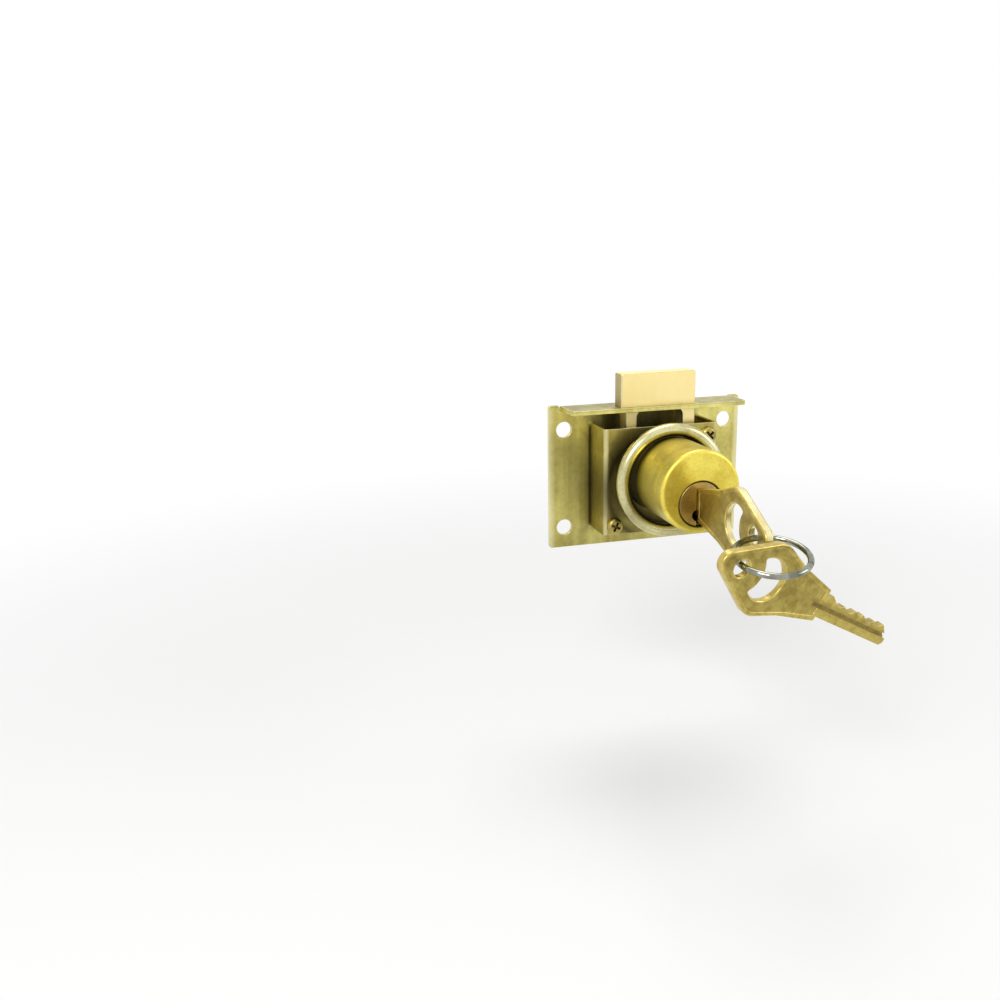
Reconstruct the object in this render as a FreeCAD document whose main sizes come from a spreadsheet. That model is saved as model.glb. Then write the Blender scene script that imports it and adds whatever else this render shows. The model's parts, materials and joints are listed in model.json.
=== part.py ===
import FreeCAD, Part
import Sketcher
import math
import os
import re

# Drawer lock for a drawer front of wood: a back plate with a folded flange, a case, a bolt
# that slides up through the flange, and a pin cylinder whose plug moves the bolt by a crank.
#
# Millimetres. +X to the right, +Y to the back, +Z up. The origin is the centre of the four
# screw holes on the plate's front face, which lies against the wood. The lock's front looks
# towards -Y. The plug is drawn locked: keyway upright, crank at the top, bolt out.

Vector = FreeCAD.Vector
TOLERANCE = 1e-3
os.makedirs("parts", exist_ok=True)
doc = FreeCAD.newDocument("drawer_lock")
sheet = doc.addObject("Spreadsheet::Sheet", "Sizes")

# Sizes

DRIVING_SIZES = [
    ("plate_width", 58.0, "back plate, side to side"),
    ("plate_height", 41.2, "back plate, bottom edge to the flange's top face"),
    ("plate_sheet", 1.2, "sheet of the plate and its flange"),
    ("plate_corner", 0.8, "rounding of the plate's four corners"),
    ("hole_spacing_x", 49.0, "screw holes, side to side"),
    ("hole_spacing_z", 28.4, "screw holes, bottom to top"),
    ("hole_bore", 4.5, "diameter of a screw hole"),
    ("hole_centre_up", 20.1, "plate's bottom edge to the centre of the four holes"),
    ("flange_width", 51.5, "flange over the drawer front's edge, side to side"),
    ("flange_depth", 11.1, "plate's front face to the flange's front edge"),
    ("flange_corner", 1.2, "rounding of the flange's front corners"),
    ("bend_inside", 0.8, "inside radius of the flange's fold"),
    ("relief_slit", 0.25, "slit between the fold and the plate's shoulder at each side"),
    ("bolt_width", 22.0, "bolt, side to side"),
    ("bolt_thick", 4.7, "bolt, front to back"),
    ("bolt_gap", 0.15, "cam disc's rear face to the bolt's front face"),
    ("bolt_out", 9.1, "how far the locked bolt stands above the flange"),
    ("bolt_corner", 0.5, "rounding of the bolt's two top corners"),
    ("bolt_slot_gap", 0.2, "gap round the bolt in the flange's slot"),
    ("left_leg_wide", 3.2, "bolt's left leg, side to side"),
    ("left_leg_inset", 1.5, "left leg's outer side, in from the head's side"),
    ("right_leg_wide", 3.7, "bolt's right leg, side to side"),
    ("window_fillet", 2.0, "rounding in the top corners of the bolt's window"),
    ("crossbar_above", 2.4, "metal of the bolt above the crank's slot"),
    ("crossbar_below", 2.1, "metal of the bolt below the crank's slot"),
    ("crossbar_side_gap", 0.3, "crossbar to the case's side walls"),
    ("runner_wide", 3.0, "runner at each end of the crossbar, side to side"),
    ("runner_gap", 0.3, "runner's back to the plate"),
    ("runner_lift", 1.0, "runner's lower end above the crossbar's"),
    ("case_width", 33.4, "case, side to side"),
    ("case_depth", 11.8, "plate's front face to the case's front face"),
    ("case_height", 30.2, "case, bottom to top"),
    ("case_bottom_up", 5.65, "plate's bottom edge to the case's bottom"),
    ("case_sheet", 1.0, "sheet of the case"),
    ("case_bend", 1.3, "outside radius of the case's front edges"),
    ("barrel_bore", 22.0, "barrel's outer diameter"),
    ("barrel_axis_up", 3.0, "centre of the four holes to the barrel's axis"),
    ("barrel_reach", 37.3, "plate's front face to the barrel's front face"),
    ("barrel_rim", 1.0, "rounding of the barrel's front edge"),
    ("barrel_hole_gap", 0.15, "gap round the barrel in the case's front"),
    ("barrel_foot", 0.8, "foot plate on the barrel's rear end, thickness"),
    ("foot_gap", 0.1, "foot plate to the case's walls"),
    ("foot_corner", 2.0, "rounding of the foot plate's corners"),
    ("plug_head", 12.0, "diameter of the plug's front head"),
    ("plug_head_long", 1.6, "plug head, front to back"),
    ("plug_body", 11.0, "diameter of the plug behind its head"),
    ("plug_drop", 3.25, "plug's axis below the barrel's axis"),
    ("plug_gap", 0.04, "running gap round the plug, on the radius"),
    ("plug_recess", 0.15, "plug's front face behind the barrel's"),
    ("plug_edge", 0.3, "bevel of the plug's front edge and of its hole"),
    ("tail_square", 5.0, "plug's square tail, across"),
    ("pin_count", 5, "pin chambers in a row"),
    ("pin_first", 5.6, "barrel's front face to the first pin"),
    ("pin_pitch", 4.0, "from one pin to the next"),
    ("pin_bore", 3.0, "diameter of a pin chamber"),
    ("pin_gap", 0.06, "running gap round a pin, on the radius"),
    ("pin_point", 0.9, "height of a key pin's cone"),
    ("pin_tip", 0.9, "diameter of the flat at a key pin's tip"),
    ("driver_long", 3.2, "driver pin, bottom to top"),
    ("spring_wire", 0.3, "wire of a pin spring"),
    ("spring_across", 2.3, "pin spring's outer diameter"),
    ("spring_pitch", 0.76, "pin spring, from one turn to the next"),
    ("stack_gap", 0.05, "gap between the pieces of a pin stack"),
    ("slug_long", 2.4, "chamber plug, from its bottom to the barrel's top"),
    ("press_gap", 0.02, "pressed or screwed fits, on the radius"),
    ("chamber_floor", 0.3, "plug's axis up to the bottom of its chambers"),
    ("keyway_wide", 2.3, "keyway, side to side"),
    ("keyway_top", 3.4, "plug's axis to the keyway's top"),
    ("keyway_wall", 0.4, "metal behind the keyway's end"),
    ("keyway_rib", 0.5, "how far the rib stands into the keyway"),
    ("rib_gap", 0.15, "gap above and below the rib in the key's groove"),
    ("keyway_bulge", 1.5, "radius of the keyway's round bulge"),
    ("bulge_left", 0.8, "plug's axis to the bulge's centre, to the left"),
    ("bulge_down", 2.9, "plug's axis down to the bulge's centre"),
    ("disc_across", 15.6, "cam disc's diameter"),
    ("disc_thick", 0.8, "cam disc, front to back"),
    ("disc_gap", 0.05, "cam disc to the barrel's foot"),
    ("tail_gap", 0.05, "cam disc's square hole round the tail"),
    ("crank_radius", 4.7, "plug's axis to the crank pin's axis"),
    ("crank_pin_bore", 2.5, "crank pin's diameter"),
    ("crank_pin_short", 0.4, "crank pin's end in front of the bolt's back"),
    ("crank_slot_play", 0.2, "least gap above and below the crank pin"),
    ("crank_slot_rise", 1.0, "extra slot height for the crank's uneven lift"),
    ("crank_slot_end", 0.3, "gap at each end of the crank's slot"),
    ("stop_radius", 6.95, "plug's axis to the stop pin's axis"),
    ("stop_bore", 1.5, "stop pin's diameter"),
    ("stop_depth", 3.0, "how far the stop pin is driven into the barrel"),
    ("stop_play", 0.1, "gap between the stop pin and the end of its notch"),
    ("notch_gap", 0.15, "gap between the stop pin and the floor of its notch"),
    ("ring_inset", 1.0, "trim ring's outer edge, in from the case's sides"),
    ("ring_inner", 24.6, "trim ring's inner diameter"),
    ("ring_back", 18.1, "plate's front face to the trim ring's back edge"),
    ("ring_deep", 2.3, "trim ring, back edge to its highest point"),
    ("ring_skirt", 0.8, "trim ring's straight skirt"),
    ("ring_bevel", 0.8, "slope from the trim ring's skirt to its face"),
    ("ring_lip", 0.4, "turned-in lip round the trim ring's hole"),
    ("ring_wall", 0.7, "sheet of the trim ring"),
    ("ring_rest", 0.25, "gap between the hanging trim ring and the barrel's top"),
    ("screw_in", 2.9, "case's side to a case screw's axis"),
    ("screw_up", 2.85, "case's bottom to the lower screw's axis"),
    ("screw_down", 3.35, "case's top to the upper screw's axis"),
    ("screw_shank", 2.5, "case screw's diameter"),
    ("screw_head", 4.5, "case screw head's diameter"),
    ("screw_head_high", 1.5, "case screw head's height"),
    ("screw_dome", 0.9, "rounding of the case screw's head"),
    ("screw_gap", 0.1, "gap round a case screw, on the radius"),
    ("screw_slot", 0.7, "width of the cross recess"),
    ("screw_slot_long", 2.8, "length of the cross recess"),
    ("screw_slot_deep", 0.9, "depth of the cross recess"),
    ("collar_across", 3.5, "drawn collar in the plate for a case screw, diameter"),
    ("collar_high", 1.0, "drawn collar's height above the plate"),
    ("key_thick", 2.1, "key, side to side"),
    ("key_face_gap", 0.1, "key's shoulder in front of the barrel's face"),
    ("blade_tip_gap", 0.2, "blade's tip to the keyway's end"),
    ("blade_top", 3.2, "key's middle line up to the blade's uncut edge"),
    ("blade_bottom", 3.1, "key's middle line down to the blade's lower edge"),
    ("cut_flat", 1.0, "flat at the bottom of each cut"),
    ("cut_slope", 0.6, "rise of a cut's side over its run"),
    ("groove_wide", 1.2, "groove along the blade, top to bottom"),
    ("groove_deep", 0.7, "groove along the blade, depth"),
    ("groove_down", 0.4, "groove's middle below the key's middle line"),
    ("groove_run", 3.0, "how far the groove runs past the shoulder"),
    ("pin_lift", 0.1, "gap between the highest tooth and the key pins"),
    ("neck_half", 4.2, "half width of the bow at the shoulder"),
    ("neck_long", 10.6, "shoulder to the end of the neck"),
    ("neck_end_half", 6.3, "half width of the bow at the neck's end"),
    ("bow_corner_at", 20.0, "shoulder to the bow's two round corners"),
    ("bow_corner_half", 3.6, "key's middle line to a round corner's centre"),
    ("bow_corner_round", 5.6, "radius of the two round corners"),
    ("bow_end_at", 32.2, "shoulder to the centre of the bow's end"),
    ("bow_end_round", 3.1, "radius of the bow's end"),
    ("crescent_at", 20.4, "shoulder to the crescent's outer circle"),
    ("crescent_round", 5.3, "radius of the crescent's outer circle"),
    ("eye_at", 28.0, "shoulder to the round eye inside the crescent"),
    ("eye_round", 6.0, "radius of the round eye"),
    ("ring_hole_at", 29.0, "shoulder to the ring's hole"),
    ("ring_hole", 4.3, "diameter of the ring's hole"),
    ("bow_rim", 1.0, "plain rim round the bow's sunk faces"),
    ("bow_sink", 0.15, "depth of the bow's sunk faces"),
    ("crescent_tip", 0.4, "rounding of the crescent's two tips"),
    ("nose_slope", 3.1, "length of the slope at the blade's tip"),
    ("nose_bevel", 0.9, "bevel under the blade's tip"),
    ("loop_radius", 8.4, "key ring, centre to the middle of its wire"),
    ("loop_wire", 1.5, "key ring's wire diameter"),
    ("loop_play", 0.7, "wire's middle off the centre of each key's hole, where it rests"),
    ("loop_spread", 100.2, "degrees of the ring between the two keys"),
    ("loop_slit", 0.25, "slit between the ends of the ring's wire"),
    ("past", 1.0, "how far cutting tools and hidden joins reach past a face"),
]
# Heights of the five cuts above the key's middle line, first cut at the shoulder.
CUT_LEVELS = [("cut_1", 1.3), ("cut_2", 1.0), ("cut_3", 1.5), ("cut_4", 0.9), ("cut_5", 1.2)]
# Directions of the spare key: towards the ring, and across the bow on the side of the cuts.
SPARE_TO_RING = Vector(-0.849, -0.234, 0.474)
SPARE_ACROSS = Vector(0.499, -0.056, 0.865)
# Direction along the ring's chord, from where it rests in the first key to the spare one.
CHORD = Vector(-0.675, -0.710, -0.202)

for row, (alias, number, note) in enumerate(
        DRIVING_SIZES + [(name, level, "key's middle line up to this cut") for name, level in CUT_LEVELS], 1):
    sheet.set(f"A{row}", note)
    sheet.set(f"B{row}", str(number))
    sheet.setAlias(f"B{row}", alias)
doc.recompute()


class Sizes:
    """Reads a size from the sheet by its name."""

    def __getattr__(self, alias):
        return float(sheet.get(alias))


S = Sizes()
ALIASES = {alias for alias, _, _ in DRIVING_SIZES} | {alias for alias, _ in CUT_LEVELS}

# Places that several pieces share, as expressions of the sizes

PLATE_BOTTOM = "(-hole_centre_up)"
PLATE_TOP = "(plate_height - hole_centre_up)"
FLANGE_UNDER = "(plate_height - hole_centre_up - plate_sheet)"
CASE_BOTTOM = "(case_bottom_up - hole_centre_up)"
CASE_TOP = "(case_bottom_up - hole_centre_up + case_height)"
CASE_INSIDE_HALF = "(case_width / 2 - case_sheet)"
CASE_INSIDE_FRONT = "(case_depth - case_sheet)"
SCREW_RIGHT = "(case_width / 2 - screw_in)"
SCREW_LEFT = f"-{SCREW_RIGHT}"
SCREW_LOW = f"({CASE_BOTTOM} + screw_up)"
SCREW_HIGH = f"({CASE_TOP} - screw_down)"
BARREL_REAR = "(case_depth - case_sheet - barrel_foot)"
PLUG_AXIS = "(barrel_axis_up - plug_drop)"
DISC_FRONT = f"({BARREL_REAR} - disc_gap)"
DISC_REAR = f"({BARREL_REAR} - disc_gap - disc_thick)"
BOLT_FRONT = f"({DISC_REAR} - bolt_gap)"
BOLT_BACK = f"({BOLT_FRONT} - bolt_thick)"
CRANK_SLOT_HALF = "(crank_pin_bore / 2 + crank_slot_rise + crank_slot_play)"
CRANK_TOP = f"({PLUG_AXIS} + crank_radius)"
CROSSBAR_TOP = f"({CRANK_TOP} + {CRANK_SLOT_HALF} + crossbar_above)"
CROSSBAR_BOTTOM = f"({CRANK_TOP} - {CRANK_SLOT_HALF} - crossbar_below)"
CROSSBAR_HALF = f"({CASE_INSIDE_HALF} - crossbar_side_gap)"
KEY_FACE = "(barrel_reach + key_face_gap)"
BEND_LINE = f"({FLANGE_UNDER} - bend_inside)"
KEYWAY_END = f"({BARREL_REAR} + keyway_wall)"
BLADE_LONG = f"({KEY_FACE} - {KEYWAY_END} - blade_tip_gap)"
TOOTH_RISE = "(cut_slope * (pin_pitch - cut_flat) / 2)"
TOOTH_TOP = f"(max(cut_1 + cut_2; cut_2 + cut_3; cut_3 + cut_4; cut_4 + cut_5) / 2 + {TOOTH_RISE})"
PIN_RADIUS = "(pin_bore / 2 - pin_gap)"
PIN_TIP = f"({PLUG_AXIS} + {TOOTH_TOP} + pin_lift)"
KEY_PIN_TOP = f"({PLUG_AXIS} + sqrt((plug_body / 2)^2 - {PIN_RADIUS}^2))"
DRIVER_BOTTOM = f"({PLUG_AXIS} + plug_body / 2 + stack_gap)"
DRIVER_TOP = f"({DRIVER_BOTTOM} + driver_long)"
BARREL_TOP = "(barrel_axis_up + barrel_bore / 2)"
SLUG_BOTTOM = f"({BARREL_TOP} - slug_long)"
RING_RADIUS = "(case_width / 2 - ring_inset)"
RING_AXIS = "(barrel_axis_up - (ring_inner / 2 - barrel_bore / 2 - ring_rest))"

nodes = {}


def formula(text):
    """Turns size names into references to the sheet."""
    return re.sub(r"[a-z]\w*", lambda word: "Sizes." * (word.group() in ALIASES) + word.group(), text)


def value_of(text):
    """The number that an expression of the sizes gives."""
    return float(sheet.evalExpression(formula(text)))


def bind(thing, place, text):
    thing.setExpression(place, formula(text))


def base(thing, x, y, z):
    """Binds a thing's place to three expressions."""
    bind(thing, ".Placement.Base.x", x)
    bind(thing, ".Placement.Base.y", y)
    bind(thing, ".Placement.Base.z", z)


def node(name, thing):
    thing.Label = name
    nodes[name] = thing
    return thing


def block(name, x, y, z):
    """A box between two expressions along each axis."""
    box = doc.addObject("Part::Box", name)
    for place, (low, high) in zip(("Length", "Width", "Height"), (x, y, z)):
        bind(box, place, f"({high}) - ({low})")
    base(box, x[0], y[0], z[0])
    return box


def rod(name, radius, x, z, front, back):
    """A cylinder along Y from front to back, both measured from the plate towards the front."""
    bar = doc.addObject("Part::Cylinder", name)
    bar.Placement = FreeCAD.Placement(Vector(0, 0, 0), FreeCAD.Rotation(Vector(1, 0, 0), -90))
    bind(bar, "Radius", radius)
    bind(bar, "Height", f"({front}) - ({back})")
    base(bar, x, f"-({front})", z)
    return bar


def post(name, radius, ahead, bottom, top):
    """An upright cylinder in the middle plane, ahead of the plate's front face."""
    bar = doc.addObject("Part::Cylinder", name)
    bind(bar, "Radius", radius)
    bind(bar, "Height", f"({top}) - ({bottom})")
    base(bar, "0", f"-({ahead})", bottom)
    return bar


def fuse(name, things):
    whole = doc.addObject("Part::MultiFuse", name)
    whole.Shapes = things
    whole.Refine = True
    return whole


def cut(name, solid, tool):
    rest = doc.addObject("Part::Cut", name)
    rest.Base = solid
    rest.Tool = tool if not isinstance(tool, list) else fuse(name + "_tools", tool)
    rest.Refine = True
    return rest


def rounded(name, solid, radius, chosen, kind="Part::Fillet"):
    """Rounds or bevels the edges that a test picks by their middle, direction and length."""
    doc.recompute()
    picked = [number for number, edge in enumerate(solid.Shape.Edges, 1)
              if chosen(edge.BoundBox.Center, edge.BoundBox)]
    assert picked, name + ": no edge found"
    smooth = doc.addObject(kind, name)
    smooth.Base = solid
    smooth.Edges = [(number, radius, radius) for number in picked]
    return smooth


def along(box, axis):
    """True for an edge that runs along one axis."""
    spans = {"x": box.XLength, "y": box.YLength, "z": box.ZLength}
    return not near(spans[axis], 0) and all(near(span, 0) for key, span in spans.items() if key != axis)


def near(one, two):
    return abs(one - two) < TOLERANCE


def plane_of(body, role):
    return next(item for item in body.Origin.OriginFeatures if item.Role == role)


def sketch_on(body, role, name, offset=None):
    """An empty sketch on one of the body's origin planes, moved along the plane's normal."""
    drawing = body.newObject("Sketcher::SketchObject", name)
    drawing.AttachmentSupport = [(plane_of(body, role), "")]
    drawing.MapMode = "FlatFace"
    if offset:
        bind(drawing, ".AttachmentOffset.Base.z", offset)
    return drawing


def hold(drawing, geometry, point, across, up):
    """Holds a point of a sketch at two expressions, measured from the sketch's origin."""
    for kind, text in (("DistanceX", across), ("DistanceY", up)):
        rule = drawing.addConstraint(Sketcher.Constraint(kind, -1, 1, geometry, point, value_of(text)))
        drawing.setExpression(f"Constraints[{rule}]", formula(text))


def polygon(drawing, corners):
    """Straight lines from corner to corner, each corner held by two expressions."""
    first = drawing.GeometryCount
    places = [Vector(value_of(across), value_of(up), 0) for across, up in corners]
    for place, following in zip(places, places[1:] + places[:1]):
        drawing.addGeometry(Part.LineSegment(place, following), False)
    for step, (across, up) in enumerate(corners):
        after = (step + 1) % len(corners)
        drawing.addConstraint(Sketcher.Constraint("Coincident", first + step, 2, first + after, 1))
        hold(drawing, first + step, 1, across, up)


def box_corners(left, right, low, high):
    return [(left, low), (right, low), (right, high), (left, high)]


def round_hole(drawing, radius, across, up):
    """A circle whose centre and radius are held by expressions."""
    centre = Vector(value_of(across), value_of(up), 0)
    number = drawing.addGeometry(Part.Circle(centre, Vector(0, 0, 1), value_of(radius)), False)
    hold(drawing, number, 3, across, up)
    rule = drawing.addConstraint(Sketcher.Constraint("Radius", number, value_of(radius)))
    drawing.setExpression(f"Constraints[{rule}]", formula(radius))


def feature(body, kind, name, drawing, length, backwards=False):
    """A pad or pocket of a sketch, checked by the volume that it adds or takes."""
    doc.recompute()
    before = body.Shape.Volume if body.Tip else 0.0
    step = body.newObject(kind, name)
    step.Profile = drawing
    step.Reversed = backwards
    bind(step, "Length", length)
    doc.recompute()
    change = body.Shape.Volume - before
    assert (change > 0) == (kind == "PartDesign::Pad") and abs(change) > TOLERANCE, name + ": wrong direction"
    return step


def body_rounding(body, name, radius, chosen):
    """Rounds edges of a body, picked by a test as in rounded()."""
    doc.recompute()
    last = body.Tip
    picked = [f"Edge{number}" for number, edge in enumerate(last.Shape.Edges, 1)
              if chosen(edge.BoundBox.Center, edge.BoundBox)]
    assert picked, name + ": no edge found"
    step = body.newObject("PartDesign::Fillet", name)
    step.Base = (last, picked)
    bind(step, "Radius", radius)
    return step


# Back plate: sheet with a folded flange, a slot for the bolt, four screw holes, two collars

plate = doc.addObject("PartDesign::Body", "plate_body")
neck = sketch_on(plate, "XZ_Plane", "neck_outline")
polygon(neck, box_corners("-flange_width / 2", "flange_width / 2", f"{BEND_LINE} - plate_sheet", PLATE_TOP))
feature(plate, "PartDesign::Pad", "neck_pad", neck, "plate_sheet", backwards=True)
fold = sketch_on(plate, "XY_Plane", "flange_outline", FLANGE_UNDER)
polygon(fold, box_corners("-flange_width / 2", "flange_width / 2", "-flange_depth", "plate_sheet / 2"))
feature(plate, "PartDesign::Pad", "flange_pad", fold, "plate_sheet")
flange_under = value_of(FLANGE_UNDER)
body_rounding(plate, "flange_corners", "flange_corner",
              lambda middle, box: along(box, "z") and near(middle.y, -S.flange_depth))
body_rounding(plate, "fold_inside", "bend_inside",
              lambda middle, box: along(box, "x") and near(middle.y, 0) and near(middle.z, flange_under))
body_rounding(plate, "fold_outside", "bend_inside + plate_sheet",
              lambda middle, box: along(box, "x") and near(middle.y, S.plate_sheet)
              and middle.z > flange_under)

outline = sketch_on(plate, "XZ_Plane", "plate_outline")
shoulder_side = "flange_width / 2 + relief_slit"
polygon(outline, [
    ("-plate_width / 2", PLATE_BOTTOM), ("plate_width / 2", PLATE_BOTTOM),
    ("plate_width / 2", PLATE_TOP), (shoulder_side, PLATE_TOP),
    (shoulder_side, BEND_LINE), (f"-({shoulder_side})", BEND_LINE),
    (f"-({shoulder_side})", PLATE_TOP), ("-plate_width / 2", PLATE_TOP),
])
feature(plate, "PartDesign::Pad", "plate_pad", outline, "plate_sheet", backwards=True)
body_rounding(plate, "plate_corners", "plate_corner",
              lambda middle, box: along(box, "y") and near(abs(middle.x), S.plate_width / 2))

slot = sketch_on(plate, "XY_Plane", "bolt_slot", f"{FLANGE_UNDER} - plate_sheet")
polygon(slot, box_corners("-bolt_width / 2 - bolt_slot_gap", "bolt_width / 2 + bolt_slot_gap",
                          f"-{BOLT_FRONT} - bolt_slot_gap", f"-{BOLT_BACK} + bolt_slot_gap"))
feature(plate, "PartDesign::Pocket", "bolt_slot_cut", slot, "3 * plate_sheet", backwards=True)

collars = sketch_on(plate, "XZ_Plane", "collar_outline")
round_hole(collars, "collar_across / 2", SCREW_LEFT, SCREW_LOW)
round_hole(collars, "collar_across / 2", SCREW_RIGHT, SCREW_HIGH)
feature(plate, "PartDesign::Pad", "collar_pad", collars, "collar_high")

holes = sketch_on(plate, "XZ_Plane", "hole_outline", "-plate_sheet")
for side in ("-", ""):
    for level in ("-", ""):
        round_hole(holes, "hole_bore / 2", f"{side}hole_spacing_x / 2", f"{level}hole_spacing_z / 2")
round_hole(holes, "screw_shank / 2 + press_gap", SCREW_LEFT, SCREW_LOW)
round_hole(holes, "screw_shank / 2 + press_gap", SCREW_RIGHT, SCREW_HIGH)
feature(plate, "PartDesign::Pocket", "hole_cut", holes, "plate_sheet + 2 * collar_high", backwards=True)
node("back_plate", plate)

# Case: folded sheet, open at the top and against the plate

case_outer = block("case_outer", ("-case_width / 2", "case_width / 2"), ("-case_depth", "0"),
                   (CASE_BOTTOM, CASE_TOP))
case_bent = rounded("case_bent", case_outer, S.case_bend,
                    lambda middle, box: near(middle.y, -S.case_depth)
                    and not (along(box, "x") and middle.z > 0))
case_inner = block("case_inner", (f"-{CASE_INSIDE_HALF}", CASE_INSIDE_HALF),
                   (f"-{CASE_INSIDE_FRONT}", "past"),
                   (f"{CASE_BOTTOM} + case_sheet", f"{CASE_TOP} + past"))
screw_hole = "screw_shank / 2 + screw_gap"
case_openings = [
    case_inner,
    rod("case_barrel_hole", "barrel_bore / 2 + barrel_hole_gap", "0", "barrel_axis_up",
        "case_depth + past", "past"),
    rod("case_low_hole", screw_hole, SCREW_LEFT, SCREW_LOW, "case_depth + past", "past"),
    rod("case_high_hole", screw_hole, SCREW_RIGHT, SCREW_HIGH, "case_depth + past", "past"),
]
node("lock_case", cut("case_cut", case_bent, case_openings))

# Bolt: head, two legs, crossbar with the crank's slot, two runners on the plate

HEAD_TOP = f"({PLATE_TOP} + bolt_out)"
LEFT_LEG = "(left_leg_inset - bolt_width / 2)"
bolt_y = (f"-{BOLT_FRONT}", f"-{BOLT_BACK}")
bolt_whole = fuse("bolt_whole", [
    block("bolt_head", ("-bolt_width / 2", "bolt_width / 2"), bolt_y, (FLANGE_UNDER, HEAD_TOP)),
    block("bolt_left_leg", (LEFT_LEG, f"{LEFT_LEG} + left_leg_wide"),
          bolt_y, (CROSSBAR_BOTTOM, f"{FLANGE_UNDER} + past")),
    block("bolt_right_leg", ("bolt_width / 2 - right_leg_wide", "bolt_width / 2"),
          bolt_y, (CROSSBAR_BOTTOM, f"{FLANGE_UNDER} + past")),
    block("bolt_crossbar", (f"-{CROSSBAR_HALF}", CROSSBAR_HALF), bolt_y, (CROSSBAR_BOTTOM, CROSSBAR_TOP)),
    block("bolt_left_runner", (f"-{CROSSBAR_HALF}", f"-{CROSSBAR_HALF} + runner_wide"),
          (f"-{BOLT_BACK} - past", "-runner_gap"), (f"{CROSSBAR_BOTTOM} + runner_lift", CROSSBAR_TOP)),
    block("bolt_right_runner", (f"{CROSSBAR_HALF} - runner_wide", CROSSBAR_HALF),
          (f"-{BOLT_BACK} - past", "-runner_gap"), (f"{CROSSBAR_BOTTOM} + runner_lift", CROSSBAR_TOP)),
])
crank_slot = block("crank_slot", ("-crank_radius - crank_pin_bore / 2 - crank_slot_end",
                                  "crank_radius + crank_pin_bore / 2 + crank_slot_end"),
                   (f"-{BOLT_FRONT} - past", f"-{BOLT_BACK} + past"),
                   (f"{CRANK_TOP} - {CRANK_SLOT_HALF}", f"{CRANK_TOP} + {CRANK_SLOT_HALF}"))
bolt_slotted = cut("bolt_slotted", bolt_whole, crank_slot)
bolt_top = value_of(HEAD_TOP)
window_sides = (value_of(f"{LEFT_LEG} + left_leg_wide"), S.bolt_width / 2 - S.right_leg_wide)
bolt_window = rounded("bolt_window", bolt_slotted, S.window_fillet,
                      lambda middle, box: along(box, "y") and near(middle.z, flange_under)
                      and any(near(middle.x, side) for side in window_sides))
node("bolt", rounded("bolt_corners", bolt_window, S.bolt_corner,
                     lambda middle, box: along(box, "y") and near(middle.z, bolt_top)))

# Barrel: turned cylinder with a foot plate, an offset bore for the plug and a row of chambers

barrel_body = rod("barrel_body", "barrel_bore / 2", "0", "barrel_axis_up", "barrel_reach", BARREL_REAR)
barrel_round = rounded("barrel_round", barrel_body, S.barrel_rim,
                       lambda middle, box: near(middle.y, -S.barrel_reach) and near(box.YLength, 0))
foot_half = f"({CASE_INSIDE_HALF} - foot_gap)"
foot = block("barrel_foot_plate", (f"-{foot_half}", foot_half), (f"-{CASE_INSIDE_FRONT}", f"-{BARREL_REAR}"),
             (f"{CASE_BOTTOM} + case_sheet + foot_gap", f"{CASE_TOP} - case_sheet"))
foot_round = rounded("foot_round", foot, S.foot_corner, lambda middle, box: along(box, "y"))
barrel_whole = fuse("barrel_whole", [barrel_round, foot_round])
head_hole = rod("plug_head_hole", "plug_head / 2 + plug_gap", "0", PLUG_AXIS,
                "barrel_reach + past", "barrel_reach - plug_recess - plug_head_long - plug_gap")
body_hole = rod("plug_body_hole", "plug_body / 2 + plug_gap", "0", PLUG_AXIS,
                "barrel_reach - past", f"{BARREL_REAR} - past")
barrel_tools = [
    head_hole,
    body_hole,
    rod("barrel_low_hole", screw_hole, SCREW_LEFT, SCREW_LOW, "case_depth", "past"),
    rod("barrel_high_hole", screw_hole, SCREW_RIGHT, SCREW_HIGH, "case_depth", "past"),
    rod("barrel_stop_hole", "stop_bore / 2 + press_gap", "-stop_radius", PLUG_AXIS,
        f"{BARREL_REAR} + stop_depth", f"{BARREL_REAR} - past"),
]
pin_places = [f"(barrel_reach - pin_first - {number} * pin_pitch)" for number in range(int(S.pin_count))]
for number, ahead in enumerate(pin_places, 1):
    barrel_tools.append(post(f"barrel_chamber_{number}", "pin_bore / 2", ahead, PLUG_AXIS,
                             f"{BARREL_TOP} + past"))
barrel_cut = cut("barrel_cut", barrel_whole, barrel_tools)
hole_across = S.plug_head + 2 * S.plug_gap
node("barrel", rounded("barrel", barrel_cut, S.plug_edge,
                       lambda middle, box: near(middle.y, -S.barrel_reach) and near(box.XLength, hole_across),
                       kind="Part::Chamfer"))

# Plug: head, body and square tail, with the keyway and the lower halves of the chambers

PLUG_FACE = "(barrel_reach - plug_recess)"
plug_head = rod("plug_head_rod", "plug_head / 2", "0", PLUG_AXIS, PLUG_FACE, f"{PLUG_FACE} - plug_head_long")
plug_edge = rounded("plug_edge_bevel", plug_head, S.plug_edge,
                    lambda middle, box: near(middle.y, -value_of(PLUG_FACE)) and near(box.YLength, 0),
                    kind="Part::Chamfer")
plug_body = rod("plug_body_rod", "plug_body / 2", "0", PLUG_AXIS,
                f"{PLUG_FACE} - plug_head_long / 2", BARREL_REAR)
tail = block("plug_tail", ("-tail_square / 2", "tail_square / 2"),
             (f"-{BARREL_REAR} - past", f"-{DISC_REAR}"),
             (f"{PLUG_AXIS} - tail_square / 2", f"{PLUG_AXIS} + tail_square / 2"))
plug_whole = fuse("plug_whole", [plug_edge, plug_body, tail])
keyway_slot = block("keyway_slot", ("-keyway_wide / 2", "keyway_wide / 2"),
                    ("-barrel_reach - past", f"-{KEYWAY_END}"),
                    (f"{PLUG_AXIS} - plug_head", f"{PLUG_AXIS} + keyway_top"))
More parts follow.
